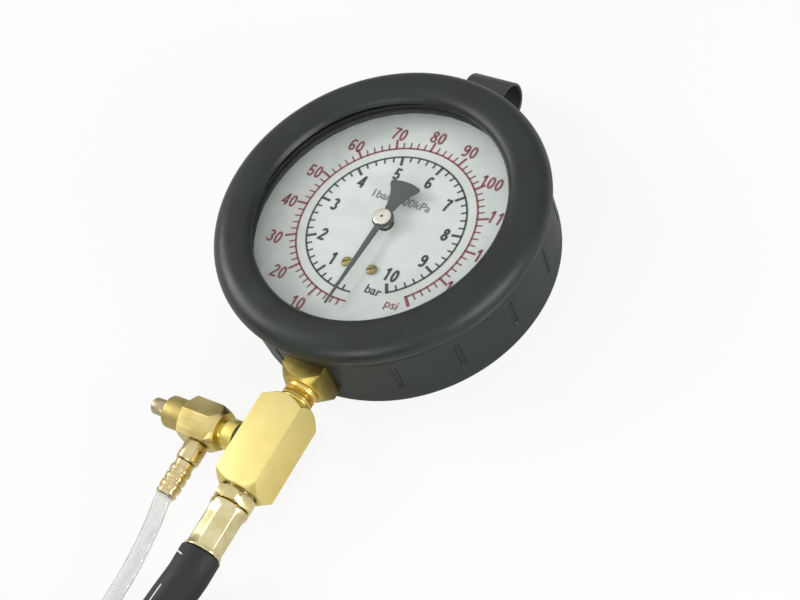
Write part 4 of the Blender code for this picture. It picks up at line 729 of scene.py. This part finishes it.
def penStroke(points, width, closed=False):
    # a flat line of even width along points in mm, with mitred corners
    line = [Vector(p) for p in points]
    count = len(line)
    left, right = [], []
    for i, point in enumerate(line):
        before = line[i - 1] if i or closed else line[0]
        after = line[(i + 1) % count] if i < count - 1 or closed else line[-1]
        first = (point - before).normalized() if point != before else (after - point).normalized()
        second = (after - point).normalized() if after != point else first
        middle = (first + second).normalized()
        out = Vector((-middle.y, middle.x)) * width / 2 / max(0.45, middle.dot(first))
        left.append(point + out)
        right.append(point - out)
    inkTop = inkBase + dial["ink"]
    rows = ((left, inkBase), (right, inkBase), (right, inkTop), (left, inkTop))
    faces = gridFaces(4, count, closeCount=closed)
    if not closed:
        faces += [tuple(a * count + i for a in range(4)) for i in (0, count - 1)]
    return meshObject("stroke", [(p.x * mm, p.y * mm, z * mm) for side, z in rows for p in side], faces)


def digitStrokes(digit, pen):
    # one sans-serif digit in a box half as wide as it is high: lists of points, and whether each line closes
    edge = pen / 2
    rx, top = 0.25 - edge, 1 - edge
    six = [(oval(0.25, 0.29, rx, 0.29 - edge, 0, 345), True),
           (oval(0.28, 0.5, 0.28 - edge, 0.5 - edge, 48, 180, 16) + [(edge, 0.29)], False)]
    two = oval(0.25, 0.72, rx, 0.28 - edge, 170, -35, 16)
    two += [(0.18, 0.30), (0.09, 0.18), (0.06, edge), (0.49, edge)]
    five = [(0.45, top), (0.14, top), (0.10, 0.50)] + oval(0.25, 0.32, rx, 0.32 - edge, 128, -158, 16)
    return {
        "0": [(oval(0.25, 0.5, rx, 0.5 - edge, 0, 345), True)],
        "1": [([(0.31, 0), (0.31, 1)], False), ([(0.10, 0.76), (0.22, 0.82), (0.31, 0.95)], False)],
        "2": [(two, False)],
        "3": [(oval(0.24, 0.74, rx - 0.02, 0.26 - edge, 160, -90, 16), False),
              (oval(0.24, 0.28, rx, 0.28 - edge, 90, -160, 16), False)],
        "4": [([(0.37, 0), (0.37, 1)], False), ([(0.35, 0.94), (0.06, 0.30), (0.50, 0.30)], False)],
        "5": [(five, False)],
        "6": six,
        "7": [([(0.03, top), (0.46, top)], False),
              ([(0.44, top), (0.30, 0.62), (0.22, 0.30), (0.19, 0)], False)],
        "8": [(oval(0.25, 0.75, rx - 0.025, 0.25 - edge, 0, 345), True),
              (oval(0.25, 0.28, rx, 0.28 - edge, 0, 345), True)],
        "9": [([(0.5 - x, 1 - y) for x, y in line], closes) for line, closes in six],
    }[digit]


def numeral(number, x, y, scale):
    high, step, pen = dial["digitHeight"], dial["digitStep"], scale["pen"]
    nudgeX, nudgeY = scale["nudge"].get(number, (0, 0))
    width = step * (len(number) - 1) + 0.5
    strokes = []
    for place, digit in enumerate(number):
        left = place * step - width / 2
        for line, closes in digitStrokes(digit, pen):
            spots = [(x + nudgeX + (left + u) * high, y + nudgeY + (v - 0.5) * high) for u, v in line]
            strokes.append(penStroke(spots, pen * high, closes))
    return strokes


def printedScale(name, scale):
    zero, step, steps = dial["zero"], scale["step"], scale["steps"]
    (long, short), (thick, thin) = scale["tick"], scale["width"]
    end = zero - steps * step
    middle = scale["edge"] + scale["side"] * dial["line"] / 2
    strokes = [penStroke(arc(0, 0, middle, end - scale["past"], zero, 160), dial["line"]),
               ticks(scale, steps - 1, zero - step, step, long, thick),
               ticks(scale, 1, end, step, long, scale["endWidth"])]
    strokes += [ticks(scale, 4, zero - (i + 0.2) * step, step / 5, short, thin) for i in range(steps)]
    for i in range(1, scale["numbers"] + 1):
        angle = math.radians(zero - i * step)
        x, y = scale["radius"][0] * math.cos(angle), scale["radius"][1] * math.sin(angle)
        strokes += numeral(str(i * scale["unit"]), x, y, scale)
    strokes.append(lettering(name + "Word", name, *scale["word"]))
    dress(joinPieces(name + "Print", strokes), scale["ink"], name + "_scale", scale["slot"])


for scaleName, scaleSet in scales.items():
    printedScale(scaleName, scaleSet)
dress(lettering("unitNote", "1bar=100kPa", 3.8, 0.4, 8.7), greyInk, None, "black_ink")

# CAD solids whose own shape is right get their finish
for carriedFinish, carriedNodes in (
    (enamel, "dial_plate"), (caseCoat, "gauge_case"), (phosphorBronze, "bourdon_tube"),
    (sealRubber, "lens_seal dial_spacer bleed_poppet"),
    (valveBrass, "hairspring_collet sector_gear tube_tip movement_back_plate movement_front_plate "
                 "movement_pillar_1 movement_pillar_2 movement_pillar_3"),
    (springSteel, "pinion_arbor hairspring sector_arbor tail_pin tip_link tip_pin movement_screw_1 "
                  "movement_screw_2 case_screw_1 case_screw_2 poppet_spring spring_seat"),
):
    for carriedNode in carriedNodes.split():
        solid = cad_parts[carriedNode].data
        solid.materials.clear()
        solid.materials.append(carriedFinish)
print("dial and inner works ready")


# pointer and its boss, dial screws

pointer = {"reach": 30.6, "tip": 0.30, "root": 1.02, "rootAt": 3.05, "collar": 3.2, "tail": 13.4, "fan": 5.0,
           "base": 22.6, "thick": 0.4, "bore": 2.1, "rest": 267.0}


def blackPointer():
    half = [(pointer["tip"], -pointer["reach"]), (pointer["root"], -pointer["rootAt"])]
    half += arc(0, 0, pointer["collar"], -71, 66, 15)
    # the tail's sides curve out to two rounded corners, and its end is an arc about the arbor
    wide, tail, base = pointer["fan"], pointer["tail"], pointer["base"]
    half += [(wide * a, tail * b) for a, b in (
        (0.31, 0.27), (0.34, 0.34), (0.40, 0.43), (0.49, 0.53), (0.60, 0.635), (0.72, 0.72), (0.85, 0.79),
        (0.94, 0.83), (0.985, 0.86), (1.0, 0.895), (0.975, 0.925), (0.91, 0.945), (0.80, 0.958),
        (0.66, 0.969))]
    half += arc(0, 0, tail, 77, 88, 5)
    outline = half + [(0, tail)] + [(-x, y) for x, y in half[::-1]]
    needle = prism("pointerNeedle", outline, base, base + pointer["thick"])
    combine(needle, rod(pointer["bore"], 15, 30, 48))
    softenEdges(needle, 0.09, 2, 50)
    dress(needle, pointerCoat, "pointer", "pointer_paint", turned(pointer["rest"] - 270), "needle")


boss = {"radius": 2.7, "rim": 23.3, "top": 24.2, "shank": 1.8, "foot": 20.4, "bore": 1.05, "boreEnd": 23.6,
        "dimple": 0.4, "dimpleFloor": 23.9}


def pointerBoss():
    r, rim, top, dimple = boss["radius"], boss["rim"], boss["top"], boss["dimple"]
    outline = [(0, boss["boreEnd"]), (boss["bore"], boss["boreEnd"]), (boss["bore"], boss["foot"]),
               (boss["shank"], boss["foot"]), (boss["shank"], rim), (r - 0.15, rim), (r - 0.04, rim + 0.1),
               (r, rim + 0.25), (r, top - 0.35), (r - 0.06, top - 0.15), (r - 0.2, top - 0.05),
               (r - 0.4, top), (dimple + 0.06, top), (dimple, top - 0.06), (dimple, boss["dimpleFloor"]),
               (0, boss["dimpleFloor"])]
    dress(lathe("bossCap", outline), nickelPlate, "pointer_boss", "nickel_plate", body="needle")


screw = {"radius": 1.6, "shank": 0.8, "foot": 17.3, "seat": 20.3, "top": 21.0, "slotHalf": 0.25,
         "slotFloor": 20.6, "slotTurn": 35, "x": 4.25, "y": -15.2}


def dialScrew(name, x, node):
    r, shank, foot, seat, top = pick(screw, "radius shank foot seat top")
    outline = [(0, foot), (shank, foot), (shank, seat), (r - 0.1, seat), (r, seat + 0.1),
               (r - 0.04, top - 0.38), (r - 0.25, top - 0.15), (r - 0.7, top - 0.03), (0, top)]
    head = lathe(name, outline, 48)
    slot = block((-3, 3), (-screw["slotHalf"], screw["slotHalf"]), (screw["slotFloor"], 22))
    slot.data.transform(turned(screw["slotTurn"]))
    combine(head, slot)
    dress(head, screwBrass, node, "plain_brass", placed(x, screw["y"]))


blackPointer()
pointerBoss()
dialScrew("dialScrewLeft", -screw["x"], "dial_screw_left")
dialScrew("dialScrewRight", screw["x"], "dial_screw_right")
print("pointer ready")


# boot, bezel and lens

boot = {
    "radius": 46.8, "draft": 0.6, "lip": 49.5, "depth": 30.5, "roll": 10.0, "width": 12.2, "shoulder": 0.7,
    "seam": 21.1, "bore": 43.35, "lipBore": 44.35, "ledge": 19.7, "floor": 2.2, "groove": 33.0,
    "grooveDeep": 0.6, "grips": 16, "gripTurn": 9.0, "gripWidth": 1.5, "gripDepth": 0.5, "gripLow": 7.6,
    "gripHigh": 18.2, "stemHole": 6.75, "hookHole": 7.3,
}


def gripGroove(angle, radius, height):
    # shallow axial slots in the side wall, softly rounded at their ends
    low, high = boot["gripLow"], boot["gripHigh"]
    if radius < boot["radius"] - 0.8 or not low - 1 < height < high + 1:
        return radius
    pitch = 360 / boot["grips"]
    off = (math.degrees(angle) - boot["gripTurn"] + pitch / 2) % pitch - pitch / 2
    across = abs(math.radians(off) * radius) / (boot["gripWidth"] / 2)
    ends = easeStep(height, low - 0.3, low + 0.3) * (1 - easeStep(height, high - 0.3, high + 0.3))
    return radius - boot["gripDepth"] * (1 - easeStep(across, 0.55, 1.15)) * ends


def rubberBoot():
    r, seam, groove, deep = boot["radius"], boot["seam"], boot["groove"], boot["grooveDeep"]
    rollX, rollY = boot["width"] / 2, boot["roll"] / 2
    roll = []
    for x, y in arc(0, 0, 1, -52, 164, 48):
        if x < 0:   # the inner shoulder is squarer than the outer one
            x, y = -abs(x) ** boot["shoulder"], y ** boot["shoulder"]
        roll.append((boot["lip"] - rollX + rollX * x, boot["depth"] - rollY + rollY * y))
    # the wall has more rows where the grips end
    wall = [(r + boot["draft"] * z / seam, z) for z in (
        1.4, 3, 5, 6.8, 7.2, 7.45, 7.75, 8.1, 9, 12, 15, 17, 17.8, 18.05, 18.4, 18.8, 19.6, 20.3)]
    outline = [(0, 0), (groove - 1.5, 0), (groove - 1.3, 0.15), (groove - 1.1, deep), (groove + 1.1, deep),
               (groove + 1.3, 0.15), (groove + 1.5, 0), (r - 1.2, 0), (r - 0.7, 0.1), (r - 0.3, 0.4),
               (r - 0.05, 0.85), *wall, (r + 0.55, seam - 0.35), (r + 0.35, seam - 0.1),
               (r + 0.1, seam + 0.05), *roll, (boot["lipBore"], 27.5), (boot["lipBore"], boot["ledge"]),
               (boot["bore"], boot["ledge"]), (boot["bore"], boot["floor"]), (0, boot["floor"])]
    body = lathe("rubberBoot", outline, 640, shape=gripGroove)
    stemHalf, hookHalf = boot["stemHole"], boot["hookHole"]
    combine(body, block((-stemHalf, stemHalf), (-60, -30), (stemHeight - stemHalf, stemHeight + stemHalf)))
    combine(body, block((-hookHalf, hookHalf), (43, 53), (13.1, 14.6)))
    combine(body, block((-hookHalf, hookHalf), (40, 44.5), (4.2, 14.6)))
    dress(body, bootRubber, "boot", "boot_rubber", sharp=40)


bezel = {"inner": 39.2, "outer": 44.0, "skirt": 20.0, "top": 27.2, "thick": 0.7}


def bezelRing():
    inner, outer, skirt, top, t = pick(bezel, "inner outer skirt top thick")
    outline = [(inner, top - 0.2), (inner, top - 0.55), (inner + 0.15, top - t), (outer - t, top - t),
               (outer - t, skirt), (outer, skirt), (outer, top - 0.4), (outer - 0.1, top - 0.15),
               (outer - 0.4, top), (inner + 0.4, top), (inner + 0.1, top - 0.05)]
    dress(lathe("bezelRing", outline, 256, ring=True), caseCoat, "bezel_ring", "black_steel")


lens = {"radius": 43.0, "low": 24.6, "high": 26.2, "chamfer": 0.2}


def lensDisc():
    r, low, high, c = lens["radius"], lens["low"], lens["high"], lens["chamfer"]
    outline = [(0, low), (r - c, low), (r, low + c), (r, high - c), (r - c, high), (0, high)]
    dress(lathe("lensDisc", outline, 192), glass, "lens", "lens_glass")


rubberBoot()
bezelRing()
lensDisc()
print("boot, bezel and lens ready")


# hanging hook

hook = {"half": 7.0, "strip": 0.9, "low": 1.05, "bend": 6.25, "root": 43.75, "rootLow": 5.05, "corner": 1.2,
        "bendAt": 57.5, "tip": 52.5}


def hangingHook():
    low, bend, corner, root = hook["low"], hook["bend"], hook["corner"], hook["root"]
    high = low + 2 * bend
    line = [(root, hook["rootLow"]), (root, high - corner - 0.3)]
    line += arc(root + corner, high - corner, corner, 180, 90, 8) + [(50.0, high), (53.5, high)]
    line += arc(hook["bendAt"], low + bend, bend, 90, -90, 33) + [(55.0, low), (hook["tip"], low)]
    flat = [Vector(p) for p in line]
    left, right = [], []
    for i, point in enumerate(flat):
        way = (flat[min(i + 1, len(flat) - 1)] - flat[max(i - 1, 0)]).normalized()
        side = Vector((-way.y, way.x)) * hook["strip"] / 2
        left.append(tuple(point + side))
        right.append(tuple(point - side))
    strip = prism("hangingHook", left + right[::-1], -hook["half"], hook["half"])
    strip.data.transform(Matrix(((0, 0, 1, 0), (1, 0, 0, 0), (0, 1, 0, 0), (0, 0, 0, 1))))
    softenEdges(strip, 0.22, 3, 50)
    dress(strip, hookCoat, "hanging_hook", "black_steel", sharp=50)


hangingHook()


# socket, tee and hose fitting, from the gauge outwards; lengths run along the stem

socket = {"half": 8.5, "floor": 3.6 - stemHeight, "top": 6.45, "start": 23.5, "end": 41.0, "shelfHalf": 6,
          "shelfTop": -2.6, "shelfStart": 9.5, "flats": 12.9, "shankStart": 39.0, "shank": 13.7, "cone": 3.6,
          "neck": 4.2, "neckStart": 51.0, "neckEnd": 65.2, "port": 1.6, "turns": 11.5}


def gaugeSocket():
    half, low, shelf, neck, end = pick(socket, "half floor shelfHalf neck neckEnd")
    body = block((-half, half), (low, socket["top"]), (socket["start"], socket["end"]))
    combine(body, block((-shelf, shelf), (low, socket["shelfTop"]), (socket["shelfStart"], 24.5)), "UNION")
    shank = wrenchBar("shank", 4, socket["flats"], socket["shank"], 0.01, socket["cone"], faceShare=0.9)
    shank.data.transform(placed(z=socket["shankStart"]))
    combine(body, shank, "UNION")
    start = socket["neckStart"]
    outline = [(0, start), (neck + 0.25, start), (neck + 0.25, start + 1.9), (neck, start + 2.3),
               (neck, end - 0.6), (neck - 0.4, end), (0, end)]
    combine(body, lathe("neck", outline), "UNION")
    combine(body, rod(socket["port"], 26, 70, 32))
    softenEdges(body, 0.18, 2, 28)
    ridge = cutThread(neck + 0.1, start + 2.4, 11.4, socket["turns"], shadedSocketBrass)
    dress(joinPieces("gaugeSocket", [body, ridge]), shadedSocketBrass, "socket", "plain_brass", onStem)


tee = {"flats": 13.4, "length": 29.1, "cone": 2.7, "start": 57.7, "port": 5.15, "inPort": 7.8,
       "outPort": 21.3, "passage": 2.4, "sidePort": 3.7, "sideAt": 14.55, "sideFloor": 1.9}


def teeBlock():
    body = wrenchBar("teeBlock", 4, tee["flats"], tee["length"], tee["cone"], tee["cone"])
    combine(body, rod(tee["port"], -1, tee["inPort"]))
    combine(body, rod(tee["port"], tee["outPort"], 30))
    combine(body, rod(tee["passage"], 2, 27, 32))
    side = rod(tee["sidePort"], tee["sideFloor"], 20)
    side.data.transform(placed(z=tee["sideAt"]) @ turned(-90, "Y"))
    combine(body, side)
    softenEdges(body, 0.28, 3, 25)
    place = onStem @ placed(z=tee["start"])
    dress(body, satinBrass, "tee_block", "bright_brass", place, sharp=28)


nipple = {"hex": 11.0, "hexLength": 3.7, "thread": 4.3, "pitch": 0.9, "neck": 4.0, "tail": 3.4,
          "tailEnd": 16.7, "bore": 2.0}


def hoseNipple(name, node, place, threadLength):
    nut = wrenchBar(name, 6, nipple["hex"], nipple["hexLength"], 0.7, 0.7, turn=30, faceShare=0.96)
    r, neck, tail, end = nipple["thread"], nipple["neck"], nipple["tail"], nipple["tailEnd"]
    outline = [(0, -threadLength), (r - 0.5, -threadLength), (r, 0.6 - threadLength), (r, -0.9),
               (neck, -0.6), (neck, 1.8), (tail, 1.8), (tail, end), (0, end)]
    combine(nut, lathe("spindle", outline, 64), "UNION")
    combine(nut, rod(nipple["bore"], -threadLength - 1, 18, 32))
    softenEdges(nut, 0.14, 2, 28)
    cut = threadLength - 1.6
    ridge = cutThread(r + 0.05, 0.5 - threadLength, cut, cut / nipple["pitch"], nipplePlate)
    dress(joinPieces(name, [nut, ridge]), nipplePlate, node, "champagne_plate", place)


ferrule = {"lip": 5.7, "flat": 5.1, "bore": 3.7, "length": 15.0, "flats": 8, "turn": 13.4}


def crimpedFerrule(name, node, place):
    # press jaws leave flats with soft ridges between them, and a rolled lip at each end
    lip, flat, end, around = ferrule["lip"], ferrule["flat"], ferrule["length"], 128
    bore, wedge = ferrule["bore"] / lip, 2 * math.pi / ferrule["flats"]
    # each row: height, share of the lip's radius, and how far the jaws press it flat
    rows = [(0.0, 0.93, 0), (0.15, 0.975, 0), (0.45, 1.0, 0), (1.0, 1.0, 0), (1.5, 0.985, 0.15),
            (2.0, 0.97, 0.6)]
    rows += [(height, 0.965, 1.0) for height in (2.6, 4.5, 8.0, 11.5, end - 1.8)]
    rows += [(end - 1.2, 0.97, 0.6), (end - 0.8, 0.975, 0.2), (end - 0.4, 0.98, 0), (end - 0.1, 0.955, 0),
             (end, 0.92, 0), (end, bore, 0), (0.0, bore, 0)]
    points = []
    for height, share, pressed in rows:
        for i in range(around):
            angle = 2 * math.pi * i / around
            jaw = flat / math.cos((angle + wedge / 2) % wedge - wedge / 2)
            full = lip * share
            ridge = 0.5 * (jaw + full - math.sqrt((jaw - full) ** 2 + 0.0006))
            radius = (full + (ridge - full) * pressed) * mm
            points.append((radius * math.cos(angle), radius * math.sin(angle), height * mm))
    shell = meshObject(name, points, gridFaces(len(rows), around))
    dress(shell, ferrulePlate, node, "champagne_plate", place, sharp=45)


hoseEnd = Matrix.Translation(hosePoints[-1]) @ turned(hoseLast + 180) @ turned(90, "X")
gaugeSocket()
teeBlock()
hoseNipple("hoseNipple", "hose_nipple", onStem @ placed(z=87.4), 7.5)
crimpedFerrule("hoseFerrule", "hose_ferrule", onStem @ placed(z=91.4) @ turned(ferrule["turn"]))
crimpedFerrule("hoseEndFerrule", "hose_end_ferrule", hoseEnd @ placed(z=0.3))
hoseNipple("hoseEndNipple", "hose_end_nipple", hoseEnd @ placed(z=19.3) @ turned(180, "X"), 9.5)

layMarks = {"dash": {"from": 1.9, "to": 2.3, "side": 58, "width": 3.6},
            "line": {"from": 12.0, "to": 90.0, "side": 76, "width": 0.35}}


def hoseAt(distance):
    # place on the hose's centre line, distance in mm from its start, and the way it runs there
    left = distance * mm
    for near, far in zip(hosePoints, hosePoints[1:]):
        step = (far - near).length
        if left <= step:
            break
        left -= step
    return near.lerp(far, left / step), (far - near).normalized()


def hoseMarks():
    # generic white layline printed on the hose: a short dash across it and a thin line along it
    marks = []
    for mark in layMarks.values():
        points = []
        rows = 2 + int((mark["to"] - mark["from"]) / 2.5)
        for distance in np.linspace(mark["from"], mark["to"], rows):
            point, way = hoseAt(distance)
            across = way.cross(Vector((0, 0, 1))).normalized()
            up = across.cross(way).normalized()
            turns = math.radians(mark["side"]) + np.linspace(-0.5, 0.5, 9) * mark["width"] / hose["radius"]
            outs = [across * math.cos(turn) + up * math.sin(turn) for turn in turns]
            points += [point + out * (hose["radius"] + 0.03) * mm for out in outs]
            points += [point + out * (hose["radius"] - 0.08) * mm for out in outs[::-1]]
        count = len(points) // rows
        faces = gridFaces(rows, count, closeRows=False)
        faces += [tuple(range(count)), tuple(range(len(points) - count, len(points)))]
        marks.append(meshObject("hoseMark", points, faces))
    dress(joinPieces("hoseLayline", marks), whiteInk, None, "hose_rubber")


hoseMarks()
print("stem and hose fittings ready")


# bleed valve; lengths run along it from the tee's side

valve = {"hex": 12.0, "start": 7.8, "length": 12.5, "cone": 3.0, "stub": 3.4, "stubStart": -4.5,
         "collar": 4.6, "collarFrom": 2.35, "collarTo": 6.1, "inner": 2.5, "seat": 1.3, "outer": 3.5,
         "drainPort": 2.6, "drainAt": 13.3}


def valveBody():
    body = wrenchBar("valveBody", 6, valve["hex"], valve["length"], valve["cone"], 0.8, turn=30,
                     faceShare=0.9)
    body.data.transform(placed(z=valve["start"]))
    r, low, collar, first, last = pick(valve, "stub stubStart collar collarFrom collarTo")
    stub = [(0, low), (r - 0.2, low), (r, low + 0.2), (r, first), (collar - 0.2, first),
            (collar, first + 0.2), (collar, last - 0.2), (collar - 0.2, last), (r, last), (r, 9.8), (0, 9.8)]
    combine(body, lathe("stub", stub), "UNION")
    combine(body, rod(valve["inner"], -6, 10, 48))
    combine(body, rod(valve["seat"], 9, 12.5, 32))
    combine(body, rod(valve["outer"], 11.5, 21))
    port = rod(valve["drainPort"], 1, 20, 48)
    port.data.transform(placed(z=valve["drainAt"]) @ turned(90, "X"))
    combine(body, port)
    softenEdges(body, 0.2, 3, 25)
    dress(body, valveBrass, "valve_body", "plain_brass", onValve, sharp=28)


cap = {"radius": 4.7, "bore": 2.75, "skirt": 3.2, "start": 15.5, "seat": 20.6, "end": 27.3}


def valveCap():
    r, bore, skirt, start, seat, end = pick(cap, "radius bore skirt start seat end")
    outline = [(bore, start), (skirt, start), (skirt, seat), (r - 0.35, seat), (r, seat + 0.25),
               (r, end - 1.1), (r - 0.08, end - 0.55), (r - 0.4, end - 0.15), (r - 0.8, end),
               (bore + 0.2, end), (bore, end - 0.2)]
    dress(lathe("valveCap", outline, ring=True), capBrass, "valve_cap", "bright_brass", onValve)


button = {"radius": 2.45, "rod": 0.8, "start": 9.2, "shoulder": 15.7, "mark": 28.4, "end": 32.7}


def bleedButton():
    r, stalk, start, shoulder, mark, end = pick(button, "radius rod start shoulder mark end")
    outline = [(0, start), (stalk, start), (stalk, shoulder - 1.2), (r, shoulder), (r, mark - 0.2),
               (r - 0.07, mark - 0.1), (r - 0.07, mark + 0.1), (r, mark + 0.2), (r, end - 0.8),
               (r - 0.07, end - 0.4), (r - 0.3, end - 0.1), (r - 0.65, end), (0, end + 0.02)]
    dress(lathe("bleedButton", outline, 72), buttonPlate, "bleed_button", "champagne_plate", onValve,
          "button")


seal = {"radius": 4.45, "at": 1.25, "section": 0.8}


def valveSeal():
    section = arc(seal["radius"], seal["at"], seal["section"], 0, 360, 25)[:-1]
    ring = lathe("valveSeal", section, ring=True)
    dress(ring, sealRubber, "valve_seal", "seal_rubber", onValve)


barb = {"tail": 2.3, "tailLength": 2.1, "collar": 3.4, "collarEnd": 6.0, "radius": 1.4, "end": 15.9,
        "bore": 0.8}
sleeve = {"base": 6.3, "bore": 1.7, "slim": 2.8, "full": 2.98, "length": 10.7, "rows": 3, "rowStep": 2.567,
          "teeth": 14}


def drainNipple():
    tail, long, collar, end, r = pick(barb, "tail tailLength collar collarEnd radius")
    outline = [(0, -long), (tail, -long), (tail, 0), (collar - 0.5, 0), (collar - 0.2, 0.25), (collar, 0.7),
               (collar, end - 0.8), (collar - 0.1, end - 0.4), (collar - 0.4, end), (r, end),
               (r, barb["end"] - 0.2), (r - 0.3, barb["end"]), (0, barb["end"])]
    fitting = combine(lathe("drainNipple", outline), rod(barb["bore"], -5, 20, 24))
    dress(fitting, drainBrass, "drain_nipple", "plain_brass", onDrain)


def drainSleeve():
    base, bore, slim, full, step = pick(sleeve, "base bore slim full rowStep")
    first, end = base + 1.4 + step / 2, base + sleeve["length"]
    outline = [(bore, base), (slim - 0.2, base), (slim + 0.05, base + 0.2), (slim, base + 0.7)]
    for i in range(sleeve["rows"]):
        at = first + step * i
        outline += [(slim, at - 0.95), (full, at - 0.85), (full, at + 0.85), (slim, at + 0.95)]
    outline += [(slim, end - 1.1), (3.05, end - 0.95), (3.05, end - 0.5), (slim, end - 0.1), (2.5, end),
                (bore, end)]
    teeth = grow("sleeveKnurl", blocks, {
        "Count": sleeve["teeth"], "First Angle": 0.1, "Step Angle": 2 * math.pi / sleeve["teeth"],
        "Radius": (slim + 0.05) * mm, "Length": 0.27 * mm, "Width": 0.85 * mm, "Height": 1.55 * mm,
        "Level": first * mm, "Rows": sleeve["rows"], "Row Step": step * mm, "Finish": drainBrass})
    softenEdges(teeth, 0.1, 2, 40)
    whole = joinPieces("drainSleeve", [lathe("sleeve", outline, ring=True), teeth])
    dress(whole, drainBrass, "drain_sleeve", "bright_brass", onDrain)


valveBody()
valveCap()
bleedButton()
valveSeal()
drainNipple()
drainSleeve()
print("bleed valve ready")
